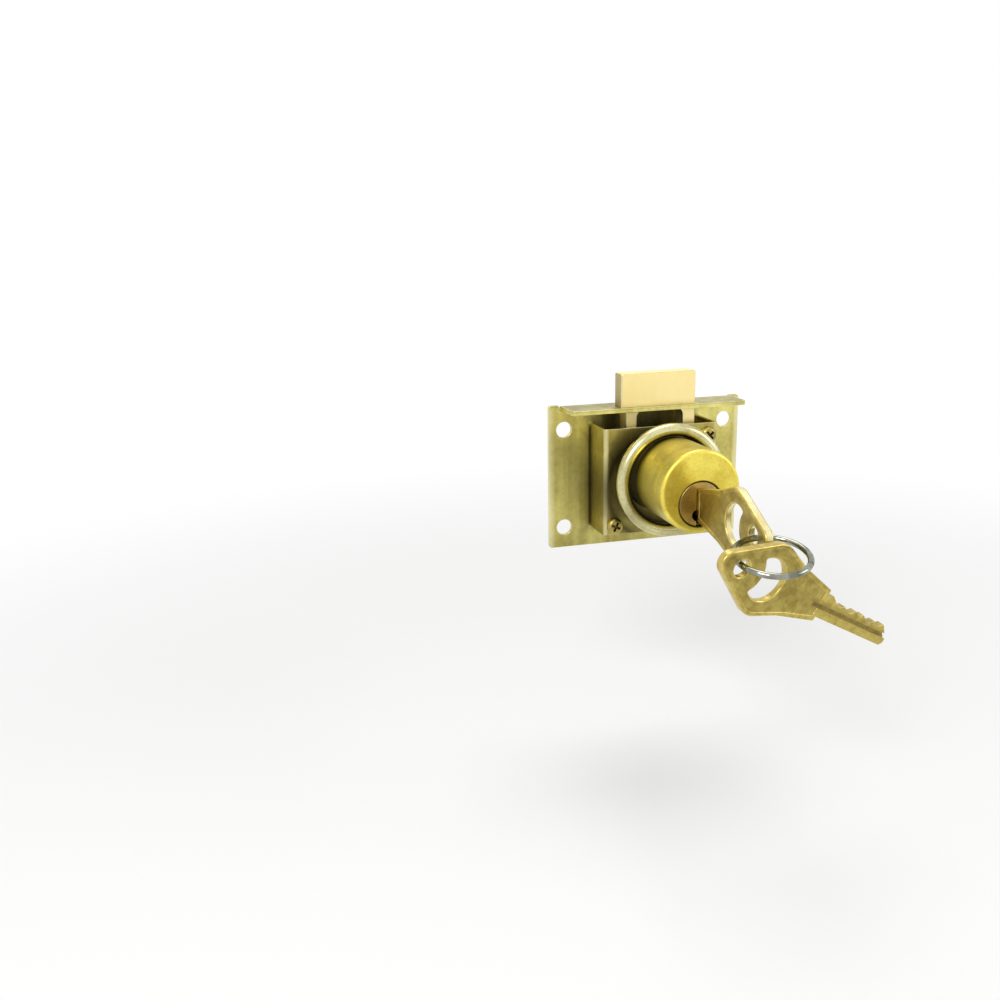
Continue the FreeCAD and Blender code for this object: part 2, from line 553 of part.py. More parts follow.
keyway_rib = block("keyway_rib_block", ("keyway_wide / 2 - keyway_rib", "keyway_wide / 2 + past"),
                   ("-barrel_reach - 2 * past", f"-{BARREL_REAR}"),
                   (f"{PLUG_AXIS} - groove_down - groove_wide / 2 + rib_gap",
                    f"{PLUG_AXIS} - groove_down + groove_wide / 2 - rib_gap"))
plug_tools = [
    cut("keyway", keyway_slot, keyway_rib),
    rod("keyway_bulge_rod", "keyway_bulge", "-bulge_left", f"{PLUG_AXIS} - bulge_down",
        "barrel_reach + past", KEYWAY_END),
]
for number, ahead in enumerate(pin_places, 1):
    plug_tools.append(post(f"plug_chamber_{number}", "pin_bore / 2", ahead,
                           f"{PLUG_AXIS} + chamber_floor", f"{PLUG_AXIS} + plug_head"))
node("plug", cut("plug", plug_whole, plug_tools))

# Pin stacks: key pin, driver pin, spring and chamber plug in each chamber


def coil(bottom, top):
    """A spring as one tube along quarter turns, and the least gap between two turns."""
    wire = S.spring_wire / 2
    radius = S.spring_across / 2 - wire
    rise = top - bottom - 2 * wire
    quarters = int(4 * rise / S.spring_pitch)

    def point(quarter):
        angle = quarter * math.pi / 2
        height = bottom + wire + rise * quarter / quarters
        return Vector(radius * math.cos(angle), radius * math.sin(angle), height)

    arcs = [Part.Arc(point(step), point(step + 0.5), point(step + 1)).toShape() for step in range(quarters)]
    section = Part.Wire(Part.makeCircle(wire, point(0), arcs[0].tangentAt(arcs[0].FirstParameter)))
    tube = Part.Wire(arcs).makePipeShell([section], True, False)
    per_quarter = 8
    half_turn = 2 * per_quarter
    steps = [point(number / per_quarter) for number in range(per_quarter * quarters + 1)]
    gap = min((steps[one] - steps[two]).Length - 2 * wire
              for one in range(len(steps)) for two in range(one + half_turn, len(steps)))
    return tube, gap


slug_round = rod("slug_round", "barrel_bore / 2", "0", "barrel_axis_up", "barrel_reach", BARREL_REAR)
spring_shape, spring_gap = coil(value_of(DRIVER_TOP) + S.stack_gap, value_of(SLUG_BOTTOM) - S.stack_gap)
print(f"pin spring: least gap {spring_gap:.2f} mm, volume {spring_shape.Volume:.3f} mm3")
for number, ahead in enumerate(pin_places, 1):
    point_cone = doc.addObject("Part::Cone", f"key_pin_point_{number}")
    bind(point_cone, "Radius1", "pin_tip / 2")
    bind(point_cone, "Radius2", PIN_RADIUS)
    bind(point_cone, "Height", "pin_point")
    base(point_cone, "0", f"-{ahead}", PIN_TIP)
    barrel_part = post(f"key_pin_rod_{number}", PIN_RADIUS, ahead, f"{PIN_TIP} + pin_point", KEY_PIN_TOP)
    node(f"key_pin_{number}", fuse(f"key_pin_{number}", [point_cone, barrel_part]))
    node(f"driver_pin_{number}", post(f"driver_pin_{number}", PIN_RADIUS, ahead, DRIVER_BOTTOM, DRIVER_TOP))
    spring = doc.addObject("Part::Feature", f"pin_spring_{number}")
    spring.Shape = spring_shape
    bind(spring, ".Placement.Base.y", f"-{ahead}")
    node(f"pin_spring_{number}", spring)
    slug = post(f"slug_rod_{number}", "pin_bore / 2 - press_gap", ahead, SLUG_BOTTOM, f"{BARREL_TOP} + past")
    flush = doc.addObject("Part::Common", f"chamber_plug_{number}")
    flush.Base = slug
    flush.Tool = slug_round
    node(f"chamber_plug_{number}", flush)

# Cam disc on the square tail, with the crank pin and the notch for the stop pin

disc_round = rod("disc_round", "disc_across / 2", "0", PLUG_AXIS, DISC_FRONT, DISC_REAR)
through_disc = (f"-{DISC_FRONT} - past", f"-{DISC_REAR} + past")
notch_block = block("notch_block", ("-disc_across", "disc_across"), through_disc,
                    (f"{PLUG_AXIS} - disc_across", f"{PLUG_AXIS} + stop_bore / 2 + stop_play"))
notch_core = rod("notch_core", "stop_radius - stop_bore / 2 - notch_gap", "0", PLUG_AXIS,
                 f"{DISC_FRONT} + 2 * past", f"{DISC_REAR} - 2 * past")
square_half = "tail_square / 2 + tail_gap"
square_hole = block("square_hole", (f"-({square_half})", square_half), through_disc,
                    (f"{PLUG_AXIS} - ({square_half})", f"{PLUG_AXIS} + {square_half}"))
node("cam_disc", cut("cam_disc", disc_round, [
    cut("disc_notch", notch_block, notch_core),
    square_hole,
    rod("crank_hole", "crank_pin_bore / 2 + press_gap", "0", CRANK_TOP,
        f"{DISC_FRONT} + past", f"{DISC_REAR} - past"),
]))
node("crank_pin", rod("crank_pin", "crank_pin_bore / 2", "0", CRANK_TOP,
                      DISC_FRONT, f"{BOLT_BACK} + crank_pin_short"))
node("stop_pin", rod("stop_pin", "stop_bore / 2", "-stop_radius", PLUG_AXIS,
                     f"{BARREL_REAR} + stop_depth", f"{DISC_REAR} + disc_gap"))

# Case screws: from the case's front through the barrel's foot into the plate's collars


def case_screw(name, across, up):
    head_front = "case_depth + screw_head_high"
    shank = rod(f"{name}_shank", "screw_shank / 2", across, up,
                "case_depth + screw_head_high / 2", "-plate_sheet")
    head = rod(f"{name}_head", "screw_head / 2", across, up, head_front, "case_depth")
    front = -value_of(head_front)
    dome = rounded(f"{name}_dome", head, S.screw_dome,
                   lambda middle, box: near(middle.y, front) and near(box.YLength, 0))
    slot_depth = (f"-({head_front}) - past", f"-({head_front}) + screw_slot_deep")
    long_way = "screw_slot_long / 2"
    short_way = "screw_slot / 2"
    level = block(f"{name}_slot_level", (f"{across} - {long_way}", f"{across} + {long_way}"),
                  slot_depth, (f"{up} - {short_way}", f"{up} + {short_way}"))
    upright = block(f"{name}_slot_upright", (f"{across} - {short_way}", f"{across} + {short_way}"),
                    slot_depth, (f"{up} - {long_way}", f"{up} + {long_way}"))
    node(name, cut(name, fuse(f"{name}_whole", [shank, dome]), [level, upright]))


case_screw("case_screw_lower_left", SCREW_LEFT, SCREW_LOW)
case_screw("case_screw_upper_right", SCREW_RIGHT, SCREW_HIGH)

# Trim ring: one turned sheet that hangs loose on the barrel

ring = doc.addObject("PartDesign::Body", "ring_body")
section = sketch_on(ring, "YZ_Plane", "ring_section")
bind(section, ".AttachmentOffset.Base.y", RING_AXIS)
RING_FRONT = "ring_back + ring_deep"
polygon(section, [(f"-({ahead})", radius) for ahead, radius in (
    ("ring_back", RING_RADIUS),
    ("ring_back + ring_skirt", RING_RADIUS),
    ("ring_back + ring_skirt + ring_bevel", f"{RING_RADIUS} - ring_bevel"),
    (RING_FRONT, "ring_inner / 2 + ring_lip"),
    (f"{RING_FRONT} - ring_lip", "ring_inner / 2"),
    (f"{RING_FRONT} - ring_lip - ring_wall", "ring_inner / 2"),
    (f"{RING_FRONT} - ring_wall", "ring_inner / 2 + ring_lip"),
    ("ring_back + ring_skirt + ring_bevel - ring_wall", f"{RING_RADIUS} - ring_bevel - ring_wall"),
    ("ring_back + ring_skirt / 2", f"{RING_RADIUS} - ring_wall"),
    ("ring_back", f"{RING_RADIUS} - ring_wall"),
)])
turned = ring.newObject("PartDesign::Revolution", "ring_turned")
turned.Profile = section
turned.ReferenceAxis = (section, ["H_Axis"])
turned.Angle = 360
node("trim_ring", ring)

# Keys: one flat shape for both, X towards the ring, Y up to the cuts, Z across the thickness


def tangent_line(first, first_round, second, second_round):
    """Ends of the outer tangent on the left of the way from one circle to the next."""
    way = second - first
    side = math.atan2(way.y, way.x) + math.acos((first_round - second_round) / way.Length)
    normal = Vector(math.cos(side), math.sin(side), 0)
    return first + normal * first_round, second + normal * second_round


def mirrored(point):
    return Vector(point.x, -point.y, 0)


def bow_outline(inset):
    """The bow's outline, moved inwards by an inset: neck, two round corners and a round end."""
    corner = Vector(S.bow_corner_at, S.bow_corner_half, 0)
    corner_round = S.bow_corner_round - inset
    end = Vector(S.bow_end_at, 0, 0)
    shoulder = Vector(inset, S.neck_half - inset, 0)
    neck_end = Vector(S.neck_long, S.neck_end_half - inset, 0)
    neck_end, corner_start = tangent_line(neck_end, 0, corner, corner_round)
    corner_stop, end_start = tangent_line(corner, corner_round, end, S.bow_end_round - inset)
    outward = (corner_start - corner) + (corner_stop - corner)
    corner_middle = corner + outward.normalize() * corner_round
    edges = []
    for flip in (lambda point: point, mirrored):
        edges.append(Part.LineSegment(flip(shoulder), flip(neck_end)).toShape())
        edges.append(Part.LineSegment(flip(neck_end), flip(corner_start)).toShape())
        edges.append(Part.Arc(flip(corner_start), flip(corner_middle), flip(corner_stop)).toShape())
        edges.append(Part.LineSegment(flip(corner_stop), flip(end_start)).toShape())
    tip = end + Vector(S.bow_end_round - inset, 0, 0)
    edges.append(Part.Arc(end_start, tip, mirrored(end_start)).toShape())
    edges.append(Part.LineSegment(mirrored(shoulder), shoulder).toShape())
    return Part.Face(Part.Wire(Part.sortEdges(edges)[0]))


def slab(face, low, high):
    """A flat face made into a slab between two heights."""
    raised = face.copy()
    raised.translate(Vector(0, 0, low))
    return raised.extrude(Vector(0, 0, high - low))


def blade_outline():
    """The blade's outline with a cut under each pin, sloping sides between and a pointed tip."""
    half_flat = S.cut_flat / 2
    levels = [sheet.get(name) for name, _ in CUT_LEVELS]
    cuts = [(value_of(f"{ahead} - {KEY_FACE}"), level) for ahead, level in zip(pin_places, levels)]
    points = [Vector(S.groove_run / 2, S.blade_top, 0)]
    first_at, first_level = cuts[0]
    points.append(Vector(first_at + half_flat + (S.blade_top - first_level) / S.cut_slope, S.blade_top, 0))
    for number, (place, level) in enumerate(cuts):
        points.append(Vector(place + half_flat, level, 0))
        points.append(Vector(place - half_flat, level, 0))
        if number + 1 < len(cuts):
            run = place - cuts[number + 1][0] - S.cut_flat
            share = (run + (cuts[number + 1][1] - level) / S.cut_slope) / 2
            points.append(Vector(place - half_flat - share, level + share * S.cut_slope, 0))
    last_at, last_level = cuts[-1]
    crest_run = (S.pin_pitch - S.cut_flat) / 2
    crest = last_level + crest_run * S.cut_slope
    tip = -value_of(BLADE_LONG)
    points.append(Vector(last_at - half_flat - crest_run, crest, 0))
    points.append(Vector(tip, crest - S.nose_slope, 0))
    points.append(Vector(tip, S.nose_bevel - S.blade_bottom, 0))
    points.append(Vector(tip + S.nose_bevel, -S.blade_bottom, 0))
    points.append(Vector(0, -S.blade_bottom, 0))
    points.append(Vector(S.groove_run / 2, -S.neck_half, 0))
    return Part.Face(Part.makePolygon(points + points[:1]))


def key_shape():
    half = S.key_thick / 2
    metal = slab(bow_outline(0), -half, half).fuse(slab(blade_outline(), -half, half))
    for side in (-1, 1):
        sunk = sorted((side * (half - S.bow_sink), side * (half + S.past)))
        metal = metal.cut(slab(bow_outline(S.bow_rim), *sunk))
    through = 2 * S.key_thick
    lift = Vector(0, 0, -through / 2)
    crescent = Part.makeCylinder(S.crescent_round, through, Vector(S.crescent_at, 0, 0) + lift)
    crescent = crescent.cut(Part.makeCylinder(S.eye_round, through, Vector(S.eye_at, 0, 0) + lift))
    tips = [edge for edge in crescent.Edges if near(edge.BoundBox.ZLength, through)]
    metal = metal.cut(crescent.makeFillet(S.crescent_tip, tips))
    metal = metal.cut(Part.makeCylinder(S.ring_hole / 2, through, Vector(S.ring_hole_at, 0, 0) + lift))
    long_way = value_of(BLADE_LONG) + S.past
    groove = Part.makeBox(long_way + S.groove_run, S.groove_wide, S.groove_deep + S.past,
                          Vector(-long_way, -S.groove_down - S.groove_wide / 2, -half - S.past))
    return metal.cut(groove).removeSplitter()


first_key = doc.addObject("Part::Feature", "key_in_lock")
first_key.Shape = key_shape()
first_key.Placement = FreeCAD.Placement(
    Vector(0, 0, 0), FreeCAD.Rotation(Vector(0, -1, 0), Vector(0, 0, 1), Vector(-1, 0, 0), "XYZ"))
base(first_key, "0", f"-{KEY_FACE}", PLUG_AXIS)
node("key_in_lock", first_key)

# Spare key and key ring: the ring's wire rests low in the first hole and high in the second

to_ring = Vector(SPARE_TO_RING).normalize()
spare_normal = to_ring.cross(SPARE_ACROSS).normalize()
spare_across = spare_normal.cross(to_ring)
chord = Vector(CHORD).normalize()
up_in_spare = (Vector(0, 0, 1) - spare_normal * spare_normal.z).normalize()
half_spread = math.radians(S.loop_spread / 2)
first_hole = Vector(0, -value_of(KEY_FACE) - S.ring_hole_at, value_of(PLUG_AXIS))
first_rest = first_hole - Vector(0, 0, 1) * S.loop_play
spare_rest = first_rest + chord * (2 * S.loop_radius * math.sin(half_spread))
spare_hole = spare_rest - up_in_spare * S.loop_play
print("ring holes", first_hole, spare_hole, "spare key's normal", spare_normal)

spare_key = doc.addObject("Part::Feature", "spare_key")
spare_key.Shape = key_shape()
spare_key.Placement = FreeCAD.Placement(
    spare_hole - to_ring * S.ring_hole_at, FreeCAD.Rotation(to_ring, spare_across, spare_normal, "XYZ"))
node("spare_key", spare_key)

leaning = spare_normal - Vector(1, 0, 0)
towards_keys = (leaning - chord * leaning.dot(chord)).normalize()
loop_normal = chord.cross(towards_keys)
loop = doc.addObject("Part::Torus", "key_ring")
bind(loop, "Radius1", "loop_radius")
bind(loop, "Radius2", "loop_wire / 2")
bind(loop, "Angle3", "360 - 360 * loop_slit / (2 * pi * loop_radius)")
loop.Placement = FreeCAD.Placement(
    (first_rest + spare_rest) / 2 - towards_keys * (S.loop_radius * math.cos(half_spread)),
    FreeCAD.Rotation(-towards_keys, loop_normal.cross(-towards_keys), loop_normal, "XYZ"))
node("key_ring", loop)

# Checks and files

doc.recompute()
for thing in doc.Objects:
    assert not {"Invalid", "Error"} & set(thing.State), thing.Name + " failed"
for name, thing in nodes.items():
    shape = thing.Shape
    assert not shape.isNull() and shape.isValid(), name + " is not a valid shape"
    assert len(shape.Solids) == 1, f"{name} has {len(shape.Solids)} solids"
    shape.exportStep(f"parts/{name}.step")
print(len(nodes), "parts written")
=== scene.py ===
# %% [markdown]
# # A drawer lock
# The lock is made of brass-plated sheet, a turned brass barrel and two cast keys. Its CAD
# model gives every piece its true size and place. This file loads that model, rounds what the
# real tools leave round, makes the trim ring, the case screws and the springs anew, and gives
# each piece its finish. All lengths are metres, and MM turns millimetres into metres.

# %% Load the lock
import json
import math
import bpy
from mathutils import Matrix, Vector


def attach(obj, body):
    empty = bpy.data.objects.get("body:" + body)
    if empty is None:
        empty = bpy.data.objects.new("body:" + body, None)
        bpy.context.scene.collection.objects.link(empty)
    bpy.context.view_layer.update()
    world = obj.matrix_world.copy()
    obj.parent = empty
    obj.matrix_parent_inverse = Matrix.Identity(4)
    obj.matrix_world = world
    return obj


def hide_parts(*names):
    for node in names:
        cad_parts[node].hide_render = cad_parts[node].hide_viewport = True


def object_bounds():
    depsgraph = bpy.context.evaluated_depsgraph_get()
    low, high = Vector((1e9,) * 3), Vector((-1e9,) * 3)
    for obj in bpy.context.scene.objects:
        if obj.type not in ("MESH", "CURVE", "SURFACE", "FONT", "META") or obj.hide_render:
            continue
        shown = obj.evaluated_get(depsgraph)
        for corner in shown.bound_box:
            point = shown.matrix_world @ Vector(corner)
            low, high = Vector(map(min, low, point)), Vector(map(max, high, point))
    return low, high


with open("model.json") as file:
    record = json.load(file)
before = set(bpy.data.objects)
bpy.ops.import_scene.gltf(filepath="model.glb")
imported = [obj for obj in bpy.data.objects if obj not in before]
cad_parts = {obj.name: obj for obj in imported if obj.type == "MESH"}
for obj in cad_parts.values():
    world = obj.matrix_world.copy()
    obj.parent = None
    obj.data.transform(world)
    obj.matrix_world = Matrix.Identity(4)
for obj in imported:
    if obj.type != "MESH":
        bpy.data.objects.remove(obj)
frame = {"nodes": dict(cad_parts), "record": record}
cad_low, cad_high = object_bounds()
MM = 0.001
body_of = {node: body for body, nodes in frame["record"]["behaviour"]["bodies"].items() for node in nodes}

# %% [markdown]
# ## Camera
# The camera stands about 30 centimetres off, in front of the lock, to its left and a little
# above. Three angles say how it looks: the turn round the lock, the dip of the view and a small
# lean of the camera. The camera's axes follow from them, and the lens gives the perspective.

# %% Camera
CAMERA_PLACE = Vector((-0.11425, -0.27269, 0.06863))
CAMERA_TURN = -0.25395
CAMERA_DIP = 0.25396
CAMERA_LEAN = -0.02111
SENSOR_WIDTH = 36
LENS = 37.33
backwards = Vector((math.sin(CAMERA_TURN) * math.cos(CAMERA_DIP),
                    -math.cos(CAMERA_TURN) * math.cos(CAMERA_DIP), math.sin(CAMERA_DIP)))
level = Vector((math.cos(CAMERA_TURN), math.sin(CAMERA_TURN), 0))
upright = backwards.cross(level)
across = level * math.cos(CAMERA_LEAN) + upright * math.sin(CAMERA_LEAN)
camera_axes = Matrix((across, backwards.cross(across), backwards)).transposed()
bpy.ops.object.camera_add(location=CAMERA_PLACE, rotation=camera_axes.to_euler())
camera = bpy.context.object
camera.data.sensor_width = SENSOR_WIDTH
camera.data.lens = LENS
camera.data.clip_start = 10 * MM
bpy.context.scene.camera = camera
bpy.context.scene.view_settings.view_transform = "Standard"
print("camera at", tuple(round(value, 3) for value in camera.location))

# %% [markdown]
# ## Floor and light
# Small metal ware is often pictured over a white sweep. A plain pale floor does the same: under
# the lock it is matt and takes the shadow, and further out it fades into the white background,
# so no horizon shows. The lock is shown in the air, as if held by its plate, and the floor lies
# far enough below it that a hanging key doesn't reach it. The light is a soft white room with one
# large lamp from the upper left, a weaker one from the right and one from above. Polished metal
# shows the room that stands round it, so the room is white for reflections too.

# %% A pale floor
FLOOR_DROP = 47 * MM
FLOOR_SIZE = 8
floor_level = cad_low.z - FLOOR_DROP
bpy.ops.object.select_all(action="DESELECT")
bpy.ops.mesh.primitive_plane_add(size=FLOOR_SIZE, location=(0, 0, floor_level))
bpy.ops.object.transform_apply(location=True, rotation=True, scale=True)
floor = bpy.context.object
floor.name = "floor"
print("floor at", round(floor_level / MM, 1), "mm")

# %% A floor that fades into the background
def link(tree, start, end):
    tree.links.new(start, end)


def sees_background(tree):
    """A value of 1 where the camera, a reflection or a clear pane looks at the surface."""
    path = tree.nodes.new("ShaderNodeLightPath")
    seen = path.outputs["Is Camera Ray"]
    for output in ("Is Glossy Ray", "Is Transmission Ray"):
        larger = tree.nodes.new("ShaderNodeMath")
        larger.operation = "MAXIMUM"
        link(tree, seen, larger.inputs[0])
        link(tree, path.outputs[output], larger.inputs[1])
        seen = larger.outputs[0]
    return seen


FADE_CENTRE = (0, -0.03)
FADE_FROM = 0.10
FADE_TO = 0.42
FLOOR_COLOR = (0.93, 0.93, 0.925, 1)
FLOOR_ROUGHNESS = 0.8
FLOOR_SHINE = 0.2
sweep = bpy.data.materials.new("pale_floor")
sweep.use_nodes = True
tree = sweep.node_tree
matt = tree.nodes["Principled BSDF"]
matt.inputs["Base Color"].default_value = FLOOR_COLOR
matt.inputs["Roughness"].default_value = FLOOR_ROUGHNESS
matt.inputs["Specular IOR Level"].default_value = FLOOR_SHINE
glow = tree.nodes.new("ShaderNodeEmission")
place = tree.nodes.new("ShaderNodeTexCoord")
distance = tree.nodes.new("ShaderNodeVectorMath")
distance.operation = "DISTANCE"
distance.inputs[1].default_value = (*FADE_CENTRE, floor_level)
far = tree.nodes.new("ShaderNodeMapRange")
far.interpolation_type = "SMOOTHSTEP"
far.inputs["From Min"].default_value = FADE_FROM
far.inputs["From Max"].default_value = FADE_TO
share = tree.nodes.new("ShaderNodeMath")
share.operation = "MULTIPLY"
blend = tree.nodes.new("ShaderNodeMixShader")
link(tree, place.outputs["Object"], distance.inputs[0])
link(tree, distance.outputs["Value"], far.inputs["Value"])
link(tree, far.outputs["Result"], share.inputs[0])
link(tree, sees_background(tree), share.inputs[1])
link(tree, share.outputs[0], blend.inputs["Fac"])
link(tree, matt.outputs["BSDF"], blend.inputs[1])
link(tree, glow.outputs["Emission"], blend.inputs[2])
link(tree, blend.outputs["Shader"], tree.nodes["Material Output"].inputs["Surface"])
floor.data.materials.append(sweep)
print("floor fades from", FADE_FROM, "to", FADE_TO, "m")

# %% A soft white room
ROOM_LIGHT = 0.5
room = bpy.data.worlds.new("white_room")
room.use_nodes = True
bpy.context.scene.world = room
tree = room.node_tree
walls = tree.nodes["Background"]
walls.inputs["Color"].default_value = (1, 1, 1, 1)
strength = tree.nodes.new("ShaderNodeMapRange")
strength.inputs["To Min"].default_value = ROOM_LIGHT
strength.inputs["To Max"].default_value = 1
link(tree, sees_background(tree), strength.inputs["Value"])
link(tree, strength.outputs["Result"], walls.inputs["Strength"])
print("room light", ROOM_LIGHT)

# %% Three lamps
LOOK_AT = Vector((0, -0.035, 0))


def soft_lamp(name, place, size, watts):
    """A square lamp that faces the lock."""
    facing = (LOOK_AT - Vector(place)).to_track_quat("-Z", "Y").to_euler()
    bpy.ops.object.light_add(type="AREA", location=place, rotation=facing)
    lamp = bpy.context.object
    lamp.name = name
    lamp.data.size = size
    lamp.data.energy = watts


soft_lamp("key_lamp", (-0.42, -0.50, 0.42), 0.30, 2.6)
soft_lamp("fill_lamp", (0.55, -0.35, 0.25), 0.30, 0.9)
soft_lamp("top_lamp", (0.05, 0.15, 0.60), 0.35, 1.2)

# %% [markdown]
# ## What a plated surface is made of
# Seen close, plated sheet and turned brass are never one flat colour. Three effects repeat
# on many pieces, each a shader group with its own inputs: fine lines left by the polishing
# belt or the lathe, darker clouds of tarnish, and the small pits of a casting. Three more groups
# only tell a material where it is: in a box, in a ring, or round the axis of a turned piece.
# Groups keep one idea in one place, and each material says how strong it wants the effect.

# %% A way to start a group
def start_group(name, inputs, outputs):
    """An empty shader group with its sockets, and its input and output nodes."""
    group = bpy.data.node_groups.new(name, "ShaderNodeTree")
    for label, kind, value in inputs:
        socket = group.interface.new_socket(label, in_out="INPUT", socket_type="NodeSocket" + kind)
        socket.default_value = value
    for label, kind in outputs:
        group.interface.new_socket(label, in_out="OUTPUT", socket_type="NodeSocket" + kind)
    return group, group.nodes.new("NodeGroupInput"), group.nodes.new("NodeGroupOutput")


def noise_in(tree, place, scale, detail):
    """A noise texture read at a place. Scale is a socket or a number."""
    noise = tree.nodes.new("ShaderNodeTexNoise")
    noise.inputs["Detail"].default_value = detail
    link(tree, place, noise.inputs["Vector"])
    if isinstance(scale, (int, float)):
        noise.inputs["Scale"].default_value = scale
    else:
        link(tree, scale, noise.inputs["Scale"])
    return noise.outputs["Fac"]


def ranged(tree, value, low, high, to_low=0.0, to_high=1.0):
    """Stretches the part of a value between low and high over a new range."""
    span = tree.nodes.new("ShaderNodeMapRange")
    span.inputs["From Min"].default_value = low
    span.inputs["From Max"].default_value = high
    span.inputs["To Min"].default_value = to_low
    span.inputs["To Max"].default_value = to_high
    link(tree, value, span.inputs["Value"])
    return span.outputs["Result"]


def calculated(tree, operation, *values):
    """One step of arithmetic on sockets and numbers."""
    step = tree.nodes.new("ShaderNodeMath")
    step.operation = operation
    for number, value in enumerate(values):
        if isinstance(value, (int, float)):
            step.inputs[number].default_value = value
        else:
            link(tree, value, step.inputs[number])
    return step.outputs[0]


def vector_step(tree, operation, first, second=None, output="Vector"):
    """One step of arithmetic on vectors. The second one is a socket or three numbers."""
    step = tree.nodes.new("ShaderNodeVectorMath")
    step.operation = operation
    link(tree, first, step.inputs[0])
    if isinstance(second, tuple):
        step.inputs[1].default_value = second
    elif second is not None:
        link(tree, second, step.inputs[1])
    return step.outputs[output]


def weighed(tree, first, first_share, second, second_share):
    """The sum of two values, each times its share."""
    return calculated(tree, "ADD", calculated(tree, "MULTIPLY", first, first_share),
                      calculated(tree, "MULTIPLY", second, second_share))


# %% Polishing lines
BAND_SCALE = 0.16
HAIR_SHARE, BAND_SHARE = 0.6, 0.4
lines_group, entry, exit_ = start_group(
    "polishing_lines",
    [("Place", "Vector", (0, 0, 0)), ("Fineness", "Vector", (3000, 3000, 80))],
    [("Height", "Float"), ("Sheen", "Float")])
stretched = vector_step(lines_group, "MULTIPLY", entry.outputs["Place"], entry.outputs["Fineness"])
hair = noise_in(lines_group, stretched, 1, detail=3)
band = noise_in(lines_group, stretched, BAND_SCALE, detail=2)
height = weighed(lines_group, hair, HAIR_SHARE, band, BAND_SHARE)
link(lines_group, height, exit_.inputs["Height"])
link(lines_group, ranged(lines_group, band, 0.35, 0.65), exit_.inputs["Sheen"])
print("made", lines_group.name)

# %% Tarnish
SPECKS_FINER = 11
CLOUD_SHARE, SPECK_SHARE = 0.75, 0.35
tarnish_group, entry, exit_ = start_group(
    "tarnish",
    [("Place", "Vector", (0, 0, 0)), ("Clean", "Color", (1, 1, 1, 1)), ("Dark", "Color", (0, 0, 0, 1)),
     ("Cloud Scale", "Float", 60), ("Amount", "Float", 0.5)],
    [("Color", "Color"), ("Mask", "Float")])
clouds = noise_in(tarnish_group, entry.outputs["Place"], entry.outputs["Cloud Scale"], detail=3)
speck_scale = calculated(tarnish_group, "MULTIPLY", entry.outputs["Cloud Scale"], SPECKS_FINER)
specks = noise_in(tarnish_group, entry.outputs["Place"], speck_scale, detail=4)
both = weighed(tarnish_group, ranged(tarnish_group, clouds, 0.40, 0.66), CLOUD_SHARE,
               ranged(tarnish_group, specks, 0.45, 0.75), SPECK_SHARE)
mask = calculated(tarnish_group, "MULTIPLY", both, entry.outputs["Amount"])
tint = tarnish_group.nodes.new("ShaderNodeMix")
tint.data_type = "RGBA"
link(tarnish_group, mask, tint.inputs["Factor"])
link(tarnish_group, entry.outputs["Clean"], tint.inputs["A"])
link(tarnish_group, entry.outputs["Dark"], tint.inputs["B"])
link(tarnish_group, tint.outputs["Result"], exit_.inputs["Color"])
link(tarnish_group, mask, exit_.inputs["Mask"])
print("made", tarnish_group.name)

# %% Cast pits
CELL_SHARE, SKIN_SHARE = 0.6, 0.5
pits_group, entry, exit_ = start_group(
    "cast_pits",
    [("Place", "Vector", (0, 0, 0)), ("Pit Scale", "Float", 1500)],
    [("Height", "Float")])
cells = pits_group.nodes.new("ShaderNodeTexVoronoi")
cells.feature = "SMOOTH_F1"
link(pits_group, entry.outputs["Place"], cells.inputs["Vector"])
link(pits_group, entry.outputs["Pit Scale"], cells.inputs["Scale"])
rough_skin = noise_in(pits_group, entry.outputs["Place"], entry.outputs["Pit Scale"], detail=4)
height = weighed(pits_group, cells.outputs["Distance"], CELL_SHARE, rough_skin, SKIN_SHARE)
link(pits_group, height, exit_.inputs["Height"])
print("made", pits_group.name)

# %% A mask for a box-shaped place
box_group, entry, exit_ = start_group(
    "box_mask",
    [("Place", "Vector", (0, 0, 0)), ("Low", "Vector", (0, 0, 0)), ("High", "Vector", (0, 0, 0)),
     ("Softness", "Vector", (MM, MM, MM))],
    [("Mask", "Float")])
past_low = vector_step(box_group, "SUBTRACT", entry.outputs["Place"], entry.outputs["Low"])
below_high = vector_step(box_group, "SUBTRACT", entry.outputs["High"], entry.outputs["Place"])
inside = vector_step(box_group, "MINIMUM", past_low, below_high)
sides = box_group.nodes.new("ShaderNodeSeparateXYZ")
link(box_group, vector_step(box_group, "DIVIDE", inside, entry.outputs["Softness"]), sides.inputs["Vector"])
least = calculated(box_group, "MINIMUM", sides.outputs["X"],
                   calculated(box_group, "MINIMUM", sides.outputs["Y"], sides.outputs["Z"]))
link(box_group, ranged(box_group, least, 0, 1), exit_.inputs["Mask"])
print("made", box_group.name)

# %% A mask for a ring round a turned piece
def from_axis(tree, place, centre):
    """How far a place is from an axis that runs from front to back through a centre."""
    flat = vector_step(tree, "MULTIPLY", vector_step(tree, "SUBTRACT", place, centre), (1, 0, 1))
    return vector_step(tree, "LENGTH", flat, output="Value")


round_group, entry, exit_ = start_group(
    "ring_mask",
    [("Place", "Vector", (0, 0, 0)), ("Centre", "Vector", (0, 0, 0)), ("Radius", "Float", 10 * MM),
     ("Spread", "Float", MM)],
    [("Mask", "Float")])
reach = from_axis(round_group, entry.outputs["Place"], entry.outputs["Centre"])
apart = calculated(round_group, "SUBTRACT", reach, entry.outputs["Radius"])
away = calculated(round_group, "ABSOLUTE", apart)
link(round_group, ranged(round_group, calculated(round_group, "DIVIDE", away, entry.outputs["Spread"]),
                         0, 1, 1, 0), exit_.inputs["Mask"])
print("made", round_group.name)

